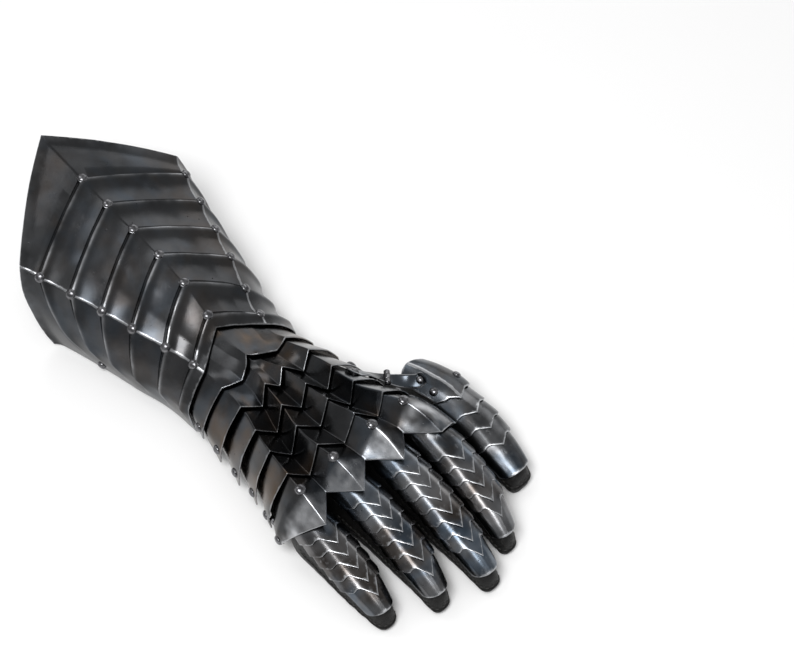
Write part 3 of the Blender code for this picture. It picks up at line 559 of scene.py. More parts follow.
def domes(name, seats, mat):
    """Rivet heads, one for each (place, direction, size): a profile turned round the direction.
    It rises from a small foot ring into a dome whose height is the cosine of its slope."""
    form = bpy.context.scene.gauntlet_form
    radius = form.rivet_radius / MM
    angle = np.radians([0, 14, 30, 46, 62, 78])
    share = np.concatenate([[1.06, 1.06, 1.0], np.cos(angle)])
    rise = np.concatenate([[-.9, .10, .20], .24 + 1.62 * np.sin(angle)])
    turns = np.arange(form.rivet_sides) * 2 * math.pi / form.rivet_sides
    place = np.array([seat[0] for seat in seats])
    up = np.array([seat[1] for seat in seats])
    up /= np.linalg.norm(up, axis=1, keepdims=True)
    size = np.array([seat[2] for seat in seats])
    side = np.cross(up, (1.0, .13, 0))
    side /= np.linalg.norm(side, axis=1, keepdims=True)
    other = np.cross(up, side)
    turned = (np.cos(turns)[None, :, None] * side[:, None]
              + np.sin(turns)[None, :, None] * other[:, None])
    spread = (radius * share)[None, :, None, None] * turned[:, None] * size[:, None, None, None]
    height = rise[None, :, None, None] * up[:, None, None] * size[:, None, None, None]
    rings = place[:, None, None] + spread + height
    poles = np.stack([place + up * (1.88 * size)[:, None], place - up * .9], 1)
    per, sides, count = len(share), form.rivet_sides, len(seats)
    body = ring_quads(per, sides)
    starts = np.arange(count)[:, None, None] * (per * sides)
    faces = (body[None] + starts).reshape(-1, 4).tolist()
    around = np.arange(sides)
    after = (around + 1) % sides
    for k in range(count):
        top = k * per * sides + (per - 1) * sides
        foot = k * per * sides
        crown = count * per * sides + 2 * k
        faces += np.stack([top + around, top + after, np.full(sides, crown)], 1).tolist()
        faces += np.stack([foot + after, foot + around, np.full(sides, crown + 1)], 1).tolist()
    points = np.concatenate([rings.reshape(-1, 3), poles.reshape(-1, 3)])
    obj = add_object(name, points, faces, mat, 60.0)
    return belongs(obj, "blackened_steel")


def seat(skin, x, t, lift, size=1.0):
    """Rivet seat: a place lifted off a skin, the outward direction and the rivet's size."""
    x, t = np.array([float(x)]), np.array([float(t)])
    out = skin.out(x, t)[0]
    return skin.at(x, t)[0] + out * lift, out, size


def carried_tube(path, ups, widths, heights, sides=10):
    """Points and faces of an oval profile carried along a path and closed at both ends by a fan:
    path + side * width * cos + up * height * sin."""
    ways = np.gradient(path, axis=0)
    ways /= np.linalg.norm(ways, axis=1, keepdims=True)
    side = np.cross(ways, ups)
    side /= np.linalg.norm(side, axis=1, keepdims=True)
    up = np.cross(side, ways)
    turns = np.arange(sides) * 2 * math.pi / sides
    ring = (side[:, None] * (np.cos(turns)[None, :] * widths[:, None])[..., None]
            + up[:, None] * (np.sin(turns)[None, :] * heights[:, None])[..., None])
    points = np.concatenate([(path[:, None] + ring).reshape(-1, 3), path[:1], path[-1:]])
    count = len(path)
    faces = ring_quads(count, sides)[:, [1, 0, 3, 2]].tolist()
    around = np.arange(sides)
    after = (around + 1) % sides
    last, ends = (count - 1) * sides, count * sides
    faces += np.stack([around, after, np.full(sides, ends)], 1).tolist()
    faces += np.stack([last + after, last + around, np.full(sides, ends + 1)], 1).tolist()
    return points, faces


def joined(parts):
    """One set of points and faces from several."""
    points, faces, start = [], [], 0
    for some_points, some_faces in parts:
        points.append(some_points)
        faces += [[start + number for number in face] for face in some_faces]
        start += len(some_points)
    return np.concatenate(points), faces


# Shader groups and materials

class Wiring:
    """Adds nodes to a tree, left to right, and links their sockets."""

    def __init__(self, tree):
        self.tree = tree
        self.column = 0

    def add(self, kind, inputs=None, **settings):
        """New node with its settings and with input values or linked sockets."""
        node = self.tree.nodes.new(kind)
        self.column += 1
        node.location = (self.column * 180 - 1600, -(self.column % 4) * 180)
        for key, value in settings.items():
            setattr(node, key, value)
        for key, value in (inputs or {}).items():
            self.link(value, node.inputs[key])
        return node

    def link(self, value, socket):
        """Link an output to a socket, or set the socket if the value is a plain one."""
        if isinstance(value, bpy.types.NodeSocket):
            self.tree.links.new(value, socket)
        else:
            socket.default_value = value

    def place(self):
        """Place on the object."""
        return self.add("ShaderNodeTexCoord").outputs["Object"]

    def maths(self, operation, a, b=0.0, c=0.0, clamp=False):
        """Math node; returns its output."""
        node = self.add("ShaderNodeMath", {0: a, 1: b, 2: c}, operation=operation,
                        use_clamp=clamp)
        return node.outputs[0]

    def between(self, value, low, high):
        """0 below low and 1 above high, smooth between."""
        node = self.add("ShaderNodeMapRange", {"Value": value, "From Min": low, "From Max": high},
                        interpolation_type="SMOOTHSTEP")
        return node.outputs["Result"]

    def spread(self, value, low, high):
        """A value from 0 to 1 spread from low to high."""
        node = self.add("ShaderNodeMapRange", {"Value": value, "To Min": low, "To Max": high})
        return node.outputs["Result"]

    def mix(self, factor, a, b):
        """Mix of two colours."""
        node = self.add("ShaderNodeMix", {0: factor}, data_type="RGBA")
        for socket, value in ((6, a), (7, b)):
            plain = not isinstance(value, bpy.types.NodeSocket)
            self.link((*value, 1.0) if plain else value, node.inputs[socket])
        return node.outputs[2]

    def noise(self, vector, scale, detail=3.0, roughness=.55, distortion=0.0):
        """Noise value, about 0.5 on average."""
        node = self.add("ShaderNodeTexNoise", {
            "Vector": vector, "Scale": scale, "Detail": detail, "Roughness": roughness,
            "Distortion": distortion})
        return node.outputs["Fac"]


def new_group(name, inputs, outputs):
    """Empty shader group with named sockets; returns its tree, wiring, inputs and outputs."""
    tree = bpy.data.node_groups.new(name, "ShaderNodeTree")
    for label, kind, value in inputs:
        socket = tree.interface.new_socket(name=label, in_out="INPUT", socket_type=kind)
        socket.default_value = value
    for label, kind in outputs:
        tree.interface.new_socket(name=label, in_out="OUTPUT", socket_type=kind)
    wiring = Wiring(tree)
    given = wiring.add("NodeGroupInput")
    result = wiring.add("NodeGroupOutput")
    return tree, wiring, given.outputs, result.inputs


FLOAT, COLOUR = "NodeSocketFloat", "NodeSocketColor"


def edge_wear_group():
    """Worn mask: the closeness to an edge, broken up by noise, cut off smoothly."""
    tree, w, given, result = new_group(
        "Edge wear", [("Closeness", FLOAT, 0.0), ("Amount", FLOAT, .5), ("Scale", FLOAT, 260.0)],
        [("Mask", FLOAT)])
    place = w.place()
    patches = w.noise(place, given["Scale"], 4.0, .6)
    reach = w.maths("MULTIPLY_ADD", patches, 1.1, -.55)
    worn = w.maths("ADD", w.maths("ADD", given["Closeness"], reach), given["Amount"])
    w.link(w.between(worn, .75, 1.35), result["Mask"])
    return tree


def streaks_group():
    """Fine polishing lines that run along a plate."""
    tree, w, given, result = new_group(
        "Polishing lines", [("Across", FLOAT, 5200.0), ("Along", FLOAT, 90.0)],
        [("Height", FLOAT)])
    run = w.add("ShaderNodeUVMap", uv_map="plate").outputs["UV"]
    parts = w.add("ShaderNodeSeparateXYZ", {"Vector": run}).outputs
    stretched = w.add("ShaderNodeCombineXYZ", {
        "X": w.maths("MULTIPLY", parts["X"], given["Across"]),
        "Y": w.maths("MULTIPLY", parts["Y"], given["Along"])}).outputs[0]
    lines = w.noise(stretched, 1.0, 2.0, .6, .3)
    w.link(lines, result["Height"])
    return tree


def pits_group():
    """Small dark pits: a few cells of a Voronoi pattern, chosen by their random colour."""
    tree, w, given, result = new_group(
        "Pits", [("Scale", FLOAT, 420.0), ("Share", FLOAT, .035)],
        [("Height", FLOAT), ("Mask", FLOAT)])
    place = w.place()
    cells = w.add("ShaderNodeTexVoronoi", {"Vector": place, "Scale": given["Scale"]})
    chance = w.add("ShaderNodeSeparateColor", {"Color": cells.outputs["Color"]}).outputs["Red"]
    chosen = w.maths("LESS_THAN", chance, given["Share"])
    blot = w.maths("SUBTRACT", 1.0, w.between(cells.outputs["Distance"], .05, .26))
    pit = w.maths("MULTIPLY", chosen, blot)
    w.link(pit, result["Mask"])
    w.link(w.maths("MULTIPLY", pit, -1.0), result["Height"])
    return tree


def scratches_group():
    """Fine scratches in two directions: thin ridges of two stretched noises."""
    tree, w, given, result = new_group(
        "Scratches", [("Scale", FLOAT, 60.0), ("Share", FLOAT, .5)],
        [("Height", FLOAT), ("Mask", FLOAT)])
    place = w.place()
    found = None
    for turn, stretch in ((.6, (1, 14, 14)), (-.9, (12, 1, 12)), (1.4, (1, 18, 6))):
        turned = w.add("ShaderNodeMapping", {"Vector": place, "Rotation": (turn, .3, turn),
                                             "Scale": stretch}).outputs[0]
        value = w.noise(turned, given["Scale"], 1.0, .4, .2)
        middle = w.maths("ABSOLUTE", w.maths("SUBTRACT", value, .5))
        line = w.maths("SUBTRACT", 1.0, w.between(middle, .0, .012))
        found = line if found is None else w.maths("MAXIMUM", found, line)
    patches = w.between(w.noise(place, 45.0, 2.0), .50, .72)
    mask = w.maths("MULTIPLY", w.maths("MULTIPLY", found, patches), given["Share"])
    w.link(mask, result["Mask"])
    w.link(w.maths("MULTIPLY", mask, -1.0), result["Height"])
    return tree


def oil_tint_group():
    """Steel colour that drifts between black, the brown of thin oil and the blue of heat."""
    tree, w, given, result = new_group(
        "Oil and heat tint",
        [("Black", COLOUR, (.07, .07, .07, 1)), ("Warm", COLOUR, (.1, .08, .05, 1)),
         ("Cool", COLOUR, (.08, .1, .14, 1)), ("Warmth", FLOAT, .5), ("Coolness", FLOAT, .5),
         ("Scale", FLOAT, 22.0)], [("Color", COLOUR)])
    place = w.place()
    moved = w.add("ShaderNodeMapping", {"Vector": place, "Location": (3.1, 1.7, .4)}).outputs[0]
    warm = w.between(w.noise(place, given["Scale"], 3.0, .6, .4), .44, .66)
    cool = w.between(w.noise(moved, given["Scale"], 3.0, .6, .4), .48, .66)
    first = w.mix(w.maths("MULTIPLY", warm, given["Warmth"]), given["Black"], given["Warm"])
    second = w.mix(w.maths("MULTIPLY", cool, given["Coolness"]), first, given["Cool"])
    w.link(second, result["Color"])
    return tree


def leather_grain_group():
    """Leather grain: rounded pebbles of a Voronoi pattern, cut by fine wandering creases."""
    tree, w, given, result = new_group(
        "Leather grain", [("Scale", FLOAT, 900.0), ("Creases", FLOAT, .6)],
        [("Height", FLOAT), ("Mask", FLOAT)])
    place = w.place()
    warp = w.add("ShaderNodeTexNoise", {"Vector": place, "Scale": 160.0, "Detail": 2.0})
    shift = w.add("ShaderNodeVectorMath", {0: warp.outputs["Color"], 1: (.5, .5, .5)},
                  operation="SUBTRACT").outputs[0]
    bent = w.add("ShaderNodeVectorMath", {0: shift, 1: (.0022, .0022, .0022), 2: place},
                 operation="MULTIPLY_ADD").outputs[0]
    pebbles = w.add("ShaderNodeTexVoronoi", {"Vector": bent, "Scale": given["Scale"]},
                    feature="DISTANCE_TO_EDGE").outputs["Distance"]
    grain = w.between(pebbles, 0.0, .22)
    crease = w.maths("ABSOLUTE", w.maths("SUBTRACT", w.noise(bent, 130.0, 4.0, .6, .8), .5))
    furrow = w.maths("MULTIPLY", w.maths("SUBTRACT", 1.0, w.between(crease, 0.0, .05)),
                     given["Creases"])
    w.link(w.maths("SUBTRACT", w.maths("MULTIPLY", grain, .5), furrow), result["Height"])
    w.link(furrow, result["Mask"])
    return tree


GROUPS = {
    "Edge wear": edge_wear_group,
    "Polishing lines": streaks_group,
    "Pits": pits_group,
    "Scratches": scratches_group,
    "Oil and heat tint": oil_tint_group,
    "Leather grain": leather_grain_group,
}


def use_group(w, name, inputs):
    """Places a shared group in a material with its own values."""
    tree = bpy.data.node_groups.get(name) or GROUPS[name]()
    return w.add("ShaderNodeGroup", inputs, node_tree=tree).outputs


def new_material(name):
    """Material with a Principled shader; returns it, its wiring and the shader's inputs."""
    mat = bpy.data.materials.new(name)
    mat.use_nodes = True
    return mat, Wiring(mat.node_tree), mat.node_tree.nodes["Principled BSDF"].inputs


def made_once(build):
    """Material function that gives back the material of its own name once it is there."""
    def get():
        return bpy.data.materials.get(build.__name__) or build(build.__name__)
    return get


def steel_finish(name, polish, wear, warmth, coolness, rough, worn_share=.5):
    """Blackened steel. Polish lightens the whole plate towards bare steel, wear sets how much
    shows along edges and ridges. Each point's polish mark from its plate adds to the polish and
    also paints highlights on the plate."""
    finish = bpy.context.scene.gauntlet_finish
    mat, w, shader = new_material(name)
    closeness = w.add("ShaderNodeAttribute", attribute_name="wear").outputs["Fac"]
    worn = use_group(w, "Edge wear", {"Closeness": closeness, "Amount": wear})["Mask"]
    tint = use_group(w, "Oil and heat tint", {
        "Black": (*finish.black_steel, 1), "Warm": (*finish.warm_tint, 1),
        "Cool": (*finish.cool_tint, 1), "Warmth": warmth, "Coolness": coolness})["Color"]
    lines = use_group(w, "Polishing lines", {})
    pits = use_group(w, "Pits", {})
    scratches = use_group(w, "Scratches", {})
    place = w.place()
    cloud = w.noise(place, 38.0, 3.0, .6)
    # Per-point polish mark, which also paints highlights: it lightens the steel towards bare
    # steel
    polish_and_highlight = w.add("ShaderNodeAttribute", attribute_name="polish_and_highlight").outputs["Fac"]
    bare = w.maths("MULTIPLY", w.between(cloud, .30, .74), w.maths("ADD", polish_and_highlight, polish))
    bare = w.maths("MAXIMUM", bare, w.maths("MULTIPLY", worn, worn_share))
    bare = w.maths("ADD", bare, w.maths("MULTIPLY", scratches["Mask"], .10), clamp=True)
    colour = w.mix(bare, tint, tuple(finish.bare_steel))
    colour = w.mix(w.maths("MULTIPLY", pits["Mask"], .8), colour, (.012, .011, .010))
    w.link(colour, shader["Base Color"])
    shader["Metallic"].default_value = 1.0
    uneven = w.maths("MULTIPLY_ADD", w.noise(place, 120.0, 4.0, .65), .16, rough - .08)
    uneven = w.maths("ADD", uneven, w.maths("MULTIPLY", pits["Mask"], .3))
    uneven = w.maths("ADD", uneven, w.maths("MULTIPLY", worn, .06))
    w.link(uneven, shader["Roughness"])
    height = w.maths("MULTIPLY_ADD", lines["Height"], .10, w.maths("MULTIPLY", cloud, .8))
    height = w.maths("MULTIPLY_ADD", pits["Height"], .9, height)
    height = w.maths("MULTIPLY_ADD", scratches["Height"], .25, height)
    bump = w.add("ShaderNodeBump", {"Height": height, "Strength": .55, "Distance": .00012})
    w.link(bump.outputs[0], shader["Normal"])
    return mat


@made_once
def cuff_steel(name):
    """Satin black of the cuff, worn a little along its ridges; on its outer ridges that wear also
    paints a bright highlight line.
    """
    return steel_finish(name, polish=.045, wear=.42, warmth=.22, coolness=.2, rough=.24)


@made_once
def lame_steel(name):
    """Darker, browner steel of the lames over wrist and hand."""
    return steel_finish(name, polish=.05, wear=.36, warmth=.95, coolness=.2, rough=.22)


@made_once
def knuckle_steel(name):
    """Brighter polish of the knuckle plate."""
    return steel_finish(name, polish=.08, wear=.55, warmth=.25, coolness=.35, rough=.24,
                        worn_share=.75)


@made_once
def scale_steel(name):
    """Polished finger scales with bright rims and blue heat tints."""
    return steel_finish(name, polish=.30, wear=.72, warmth=.35, coolness=.9, rough=.24,
                        worn_share=.95)


@made_once
def rivet_steel(name):
    """Dark chrome-like rivet heads: smooth, with small dents and grime in the noise."""
    mat, w, shader = new_material(name)
    place = w.place()
    cloud = w.noise(place, 500.0, 3.0, .6)
    w.link(w.mix(w.between(cloud, .35, .7), (.09, .09, .095), (.22, .22, .23)),
           shader["Base Color"])
    shader["Metallic"].default_value = 1.0
    w.link(w.spread(cloud, .12, .30), shader["Roughness"])
    bump = w.add("ShaderNodeBump", {"Height": cloud, "Strength": .5, "Distance": .0002})
    w.link(bump.outputs[0], shader["Normal"])
    return mat


@made_once
def glove_leather(name):
    """Black grained leather, paler in random patches and darker in the furrows of its grain."""
    finish = bpy.context.scene.gauntlet_finish
    mat, w, shader = new_material(name)
    grain = use_group(w, "Leather grain", {})
    place = w.place()
    rubbed = w.between(w.noise(place, 55.0, 5.0, .65), .48, .72)
    colour = w.mix(rubbed, tuple(finish.leather), (.008, .0075, .007))
    colour = w.mix(w.maths("MULTIPLY", grain["Mask"], .35), colour, (.002, .002, .002))
    w.link(colour, shader["Base Color"])
    shader["Specular IOR Level"].default_value = .30
    rough = w.maths("MULTIPLY_ADD", w.noise(place, 240.0, 3.0), .22, .40)
    w.link(rough, shader["Roughness"])
    bump = w.add("ShaderNodeBump", {"Height": grain["Height"], "Strength": .8,
                                    "Distance": .00035})
    w.link(bump.outputs[0], shader["Normal"])
    return mat


@made_once
def waxed_thread(name):
    """Waxed black thread: fine diagonal twist."""
    finish = bpy.context.scene.gauntlet_finish
    mat, w, shader = new_material(name)
    place = w.place()
    twist = w.add("ShaderNodeTexWave", {"Vector": place, "Scale": 900.0, "Distortion": 1.5},
                  bands_direction="DIAGONAL").outputs["Fac"]
    w.link(w.mix(twist, tuple(finish.thread), (.045, .043, .040)), shader["Base Color"])
    shader["Roughness"].default_value = .5
    bump = w.add("ShaderNodeBump", {"Height": twist, "Strength": .5, "Distance": .0001})
    w.link(bump.outputs[0], shader["Normal"])
    return mat


# Cuff

def rib_line(rib, t):
    """Station of a rib, counted from the rear one at 0, where it crosses line t: straight from
    the middle fold to the outer ridge and from there to the lower edge."""
    centre, ridge, lower = (LENGTH * (first + pitch * rib) for first, pitch in RIB_LINES)
    fold = np.abs(np.asarray(t, float) - CENTRE)
    outer = CENTRE - THUMB_RIDGE
    top = centre + (ridge - centre) * np.clip(fold / outer, 0, 1)
    return top + (lower - ridge) * np.clip((fold - outer) / (CENTRE - outer), 0, 1)


def rib_relief(number):
    """Height of the embossing over one rib pitch, as a share of the rise: a narrow groove, a
    quick climb, a round crest, a long slope, then a slightly hollow panel."""
    u = np.mod(number + .08, 1.0) - .08
    stops = (-.08, -.055, -.03, -.005, .03, .07, .11, .17, .25, .36, .50, .70, .92)
    rises = (-.05, -.22, -.26, .25, .86, 1.0, .93, .66, .34, .06, -.09, -.15, -.05)
    return hermite(stops, rises, u)


CUFF_ROWS = np.array([-.08, -.065, -.05, -.035, -.02, -.008, .005, .02, .035, .05, .065, .08,
                      .10, .13, .17, .21, .26, .32, .39, .47, .56, .66, .76, .86])


def cuff_numbers(t):
    """Rib numbers of every row at each line: rows from the turned rear edge to rib 0, then the
    rows of each rib."""
    rear = np.interp(np.abs(t - CENTRE), (0, 3, 4, 5), REAR_EDGE)
    shares = np.array([1, .994, .985, .97, .945, .91, .87, .82, .76, .68, .58, .46, .34, .22])
    first = shares[:, None] * rear + (1 - shares[:, None]) * -.09
    ribs = np.concatenate([rib + CUFF_ROWS for rib in range(RIB_COUNT)])
    ribs = ribs[ribs < RIB_COUNT - 1 + .40]
    ribs = np.concatenate([ribs, RIB_COUNT - 1 + .42 - RIM_ROWS[::-1] / 22])
    return np.concatenate([first, np.broadcast_to(ribs[:, None], (len(ribs), len(t)))]), rear


def make_cuff():
    """Flared cuff: the skin lifted, with the ribs' relief and a border turned out at the rear
    as the square of the distance left to the edge."""
    form = bpy.context.scene.gauntlet_form
    t = columns_for(.1, 9.9, (THUMB_RIDGE, CENTRE, LITTLE_RIDGE), 22.0, 2.6)
    number, rear = cuff_numbers(t)
    x = rib_line(number, t)
    fold = np.abs(t - CENTRE)
    taper = np.interp(fold, (0, 3, 4, 4.5), (1, 1, .8, 0))
    relief = rib_relief(number) * form.rib_rise / MM * taper
    relief = np.where(number < -.085, 0, relief)
    edge = np.clip(1 - (x - rib_line(rear, t)) / BORDER, 0, 1)
    lift = CUFF_LIFT + relief + form.border_flare / MM * edge ** 2
    bow = CUFF_BOW * np.sin(math.pi * np.clip(fold / 3, 0, 1)) ** 2
    lift = lift - bow * np.clip(number + .5, 0, 1)
    grid_t = np.broadcast_to(t, x.shape)
    crests = (THUMB_RIDGE, CENTRE, LITTLE_RIDGE)
    # Polish beside each rib's crest and along the rear border, which also paints the highlights
    # there
    beside = number - np.round(number)
    glint = np.exp(-((beside - RIB_POLISH_AND_HIGHLIGHT_AT) / RIB_POLISH_AND_HIGHLIGHT_WIDTH) ** 2) * (number > -.2)
    polish_and_highlight = RIB_POLISH_AND_HIGHLIGHT * taper * glint + BORDER_POLISH_AND_HIGHLIGHT * edge
    # Wear on the two outer ridges only, not the middle fold: real wear that also paints their
    # bright highlight line
    obj = steel_plate("cuff_steel_plate", HAND, x, grid_t, lift, cuff_steel(), STEEL,
                      (THUMB_RIDGE, LITTLE_RIDGE), polish_and_highlight)
    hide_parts("cuff_plate")
    height = CUFF_LIFT + STEEL + .75 * form.rib_rise / MM
    seats = [seat(HAND, rib_line(rib + RIVET_AFTER_RIB, line), line, height)
             for rib in range(RIB_COUNT) for line in crests]
    station, edge = CUFF_LOW_RIVETS
    seats += [seat(HAND, rib_line(station, line), line, CUFF_LIFT + STEEL)
              for line in (edge, 2 * CENTRE - edge)]
    domes("cuff_rivets", seats, rivet_steel())


# Lames and knuckle plate

def lame_front(number, t):
    """Front edge of a lame: set back on its ridges, in its middle as (1 - fold / 3)^2, and along
    its sides, so that its corners point forward in the hollows."""
    t = np.asarray(t, float)
    fold = np.abs(t - CENTRE)
    outer = CENTRE - THUMB_RIDGE
    _, station, back, crests, _, _ = LAMES[number - 1]
    near = np.min(np.abs(t[..., None] - np.array(crests)), -1)
    middle = back * np.clip(1 - fold / outer, 0, 1) ** 2
    dips = LAME_DIP * (np.clip(1 - near, 0, 1) - .5)
    return LENGTH * (station - middle) - dips - LAME_SWEEP * np.clip(fold - outer, 0, None)


def shingle_fronts(t):
    """Front edges of the cuff and of each lame, and the slope that lets each pass under the one
    before it: one step over the least distance between two edges."""
    fronts = [rib_line(CUFF_FRONT, t)]
    fronts += [lame_front(k + 1, t) for k in range(len(LAMES))]
    return fronts, STEP / np.min(np.diff(np.stack(fronts), axis=0), 0)


def make_lames():
    """Row of lames from the cuff to the knuckle plate, each lying over the next one. The lift
    grows from its rear edge so that its front clears the next plate."""
    seats = []
    for k, (name, _, _, _, edge, rivets) in enumerate(LAMES):
        t = columns_for(edge, LITTLE_EDGE, FOLDS, 11.0, 1.5)
        fronts, slope = shingle_fronts(t)
        front, rear = fronts[k + 1], fronts[k] - LAME_OVERLAP
        x = rear + (front - rear) * rows_for(30.0, 22)[:, None]
        obj = steel_plate(name + "_steel", HAND, x, np.broadcast_to(t, x.shape),
                          slope * (x - rear), lame_steel())
        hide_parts(name)
        for line in rivets:
            place = float(np.interp(line, t, front)) - LAME_RIVET_INSET
            rise = (place - np.interp(line, t, rear)) * np.interp(line, t, slope)
            seats.append(seat(HAND, place, line, rise + STEEL))
    domes("lame_rivets", seats, rivet_steel())


def knuckle_rise(x, t):
    """How high the knuckle plate lies: it starts under the last lame and climbs to its front."""
    fronts, slope = shingle_fronts(t)
    rear = fronts[-1] - LAME_OVERLAP
    under = slope * (x - rear)
    return np.minimum(under + KNUCKLE_CLIMB * np.clip(x - fronts[-1] - 1, 0, None), COVER_LIFT)


def make_knuckle_plate():
    """Plate with a gable over each knuckle: its front edge zigzags with the distance from the
    nearest ridge. Its faces are hollowed a little between the ridges, and polished in front,
    where the polish also paints bright highlight patches, weaker between the ridges."""
    t = columns_for(*KNUCKLE_ENDS, FOLDS, 15.0, 1.5)
    near = np.min(np.abs(t[:, None] - np.array(KNUCKLES)), -1)
    outside = (t < KNUCKLES[0]) | (t > KNUCKLES[-1])
    near = np.where(outside, near * KNUCKLE_OUTER_SHARE, near)
    turn = np.interp(t, KNUCKLE_TURN_LINES, KNUCKLE_TURN)
    front = LENGTH * (KNUCKLE_FRONT - KNUCKLE_FRONT_CUT * near + turn)
    cover = lame_front(len(LAMES), t)
    rear = cover - LAME_OVERLAP
    x = rear + (front - rear) * rows_for(42.0, 34)[:, None]
    grid_t = np.broadcast_to(t, x.shape)
    shown = np.clip((x - cover) / KNUCKLE_FADE_IN, 0, 1)
    hollow = KNUCKLE_HOLLOW * shown * np.sin(math.pi * np.clip(near, 0, 1)) ** 2
    lift = knuckle_rise(x, grid_t) - hollow
    # Polish in front of the rivets, which also paints the highlight patches, weaker between the
    # ridges
    ahead = np.interp(x / LENGTH, KNUCKLE_POLISH_AND_HIGHLIGHT_RAMP, (0, 1))
    polish_and_highlight = KNUCKLE_POLISH_AND_HIGHLIGHT * ahead * (1 - KNUCKLE_POLISH_AND_HIGHLIGHT_FADE * near ** 2)
    obj = steel_plate("knuckle_steel_plate", HAND, x, grid_t, lift, knuckle_steel(), STEEL, (),
                      polish_and_highlight)
    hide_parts("knuckle_plate")
    seats = [seat(HAND, LENGTH * station, line,
                  float(knuckle_rise(np.array(LENGTH * station), np.array(line))) + STEEL)
             for station, line in KNUCKLE_RIVETS]
    domes("knuckle_rivets", seats, rivet_steel())


# Finger and thumb scales

def scale_edge(front, point, t):
    """Front edge of a scale: a point on the ridge, a rounded shoulder beside it, then swept back
    down its sides, a smooth curve through the rows of SCALE_EDGE."""
    shares, backs = np.array(SCALE_EDGE).T
    return front - point * hermite(shares, backs, np.abs(t) / EAVE)


def scale_row(name, skin, fronts, end, cover, t, point=SCALE_POINT):
    """Scales from the knuckle outward, each starting under the one before it; the last is a
    rounded tip plate. The lift grows along each scale by one step per pitch."""
    edges = [scale_edge(front, point, t) for front in fronts]
    edges.append(end - TIP_PLATE_ROUND * (np.abs(t) / EAVE) ** 2)
    slope = SCALE_STEP / np.min(np.diff(np.stack(edges), axis=0), 0)
    before = cover
    for k, front in enumerate(edges):
        last = k == len(edges) - 1
        rear = before - SCALE_OVERLAP
        share = rows_for(18.0, 16 if last else 11)[:, None]
        x = rear + (front - rear) * share
        origin = edges[k - 1] if k else front - SCALE_STEP / slope
        rise = slope * (x - origin + SCALE_OVERLAP)
        lift = CLEARANCE + np.clip(rise, 0, TIP_PLATE_RISE if last else None)
        title = name + ("_tip_plate" if last else "_scale_" + str(k + 1))
        exposed = RUBBED_LEAST + (1 - RUBBED_LEAST) * np.exp(-(t / RUBBED_REACH) ** 2)
        obj = steel_plate(title + "_steel", skin, x, np.broadcast_to(t, x.shape), lift,
                          scale_steel(), SCALE_STEEL, (), 0.0, exposed)
        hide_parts(title)
        before = front


def make_finger_scales():
    """Scale rows of the four fingers."""
    t = columns_for(-EAVE, EAVE, (0,), 8.0, .7)
    for row in FINGERS:
        skin = Skin(finger_place(row), SCALE_LINES, .06)
        first, end = row[4] * LENGTH, row[5] * LENGTH
        pitch = (end - first) / row[6]
        fronts = [first + pitch * k for k in range(row[6])]
        scale_row(row[0], skin, fronts, end, np.full(t.shape, FINGER_COVER * LENGTH), t)


def thumb_plate_share(x, t):
    """How far along the thumb plate a place is, from its rear edge at 0 to its front at 1."""
    line = t / np.where(np.asarray(t) > 0, THUMB_PLATE_INNER, 1)
    front = scale_edge(THUMB_FRONTS[0] * LENGTH, THUMB_POINT, line)
    rear = LENGTH * (THUMB_PLATE_REAR + THUMB_PLATE_CUT * (line / EAVE) ** 2)
    return (x - rear) / (front - rear), rear, front


def thumb_plate_lift(share):
    """How high the thumb plate lies: it climbs from its rear edge and is domed by a sine."""
    return CLEARANCE + THUMB_PLATE_RISE * share + THUMB_PLATE_DOME * np.sin(math.pi * share)


def make_thumb_plates():
    """Domed plate over the thumb's root, and the scales before it."""
    t = columns_for(-EAVE, EAVE * THUMB_PLATE_INNER, (0,), 10.0, 1.0)
    _, rear, front = thumb_plate_share(0, t)
    share = rows_for(42.0, 26)[:, None]
    x = rear + (front - rear) * share
    lift = np.broadcast_to(thumb_plate_lift(share), x.shape)
    obj = steel_plate("thumb_plate_steel", THUMB, x, np.broadcast_to(t, x.shape), lift,
                      knuckle_steel(), STEEL, (0,))
    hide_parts("thumb_plate")
    seats = []
    for station, line in THUMB_RIVETS:
        rise = float(thumb_plate_lift(thumb_plate_share(LENGTH * station, line)[0]))
        seats.append(seat(THUMB, LENGTH * station, line, rise + STEEL, THUMB_RIVET_SIZE))
    domes("thumb_rivets", seats, rivet_steel())
    t = columns_for(-EAVE, EAVE, (0,), 10.0, .9)
    cover = scale_edge(THUMB_FRONTS[0] * LENGTH, THUMB_POINT, t)
    scale_row("thumb", THUMB, [f * LENGTH for f in THUMB_FRONTS[1:]], THUMB_END * LENGTH,
              cover, t, THUMB_POINT)


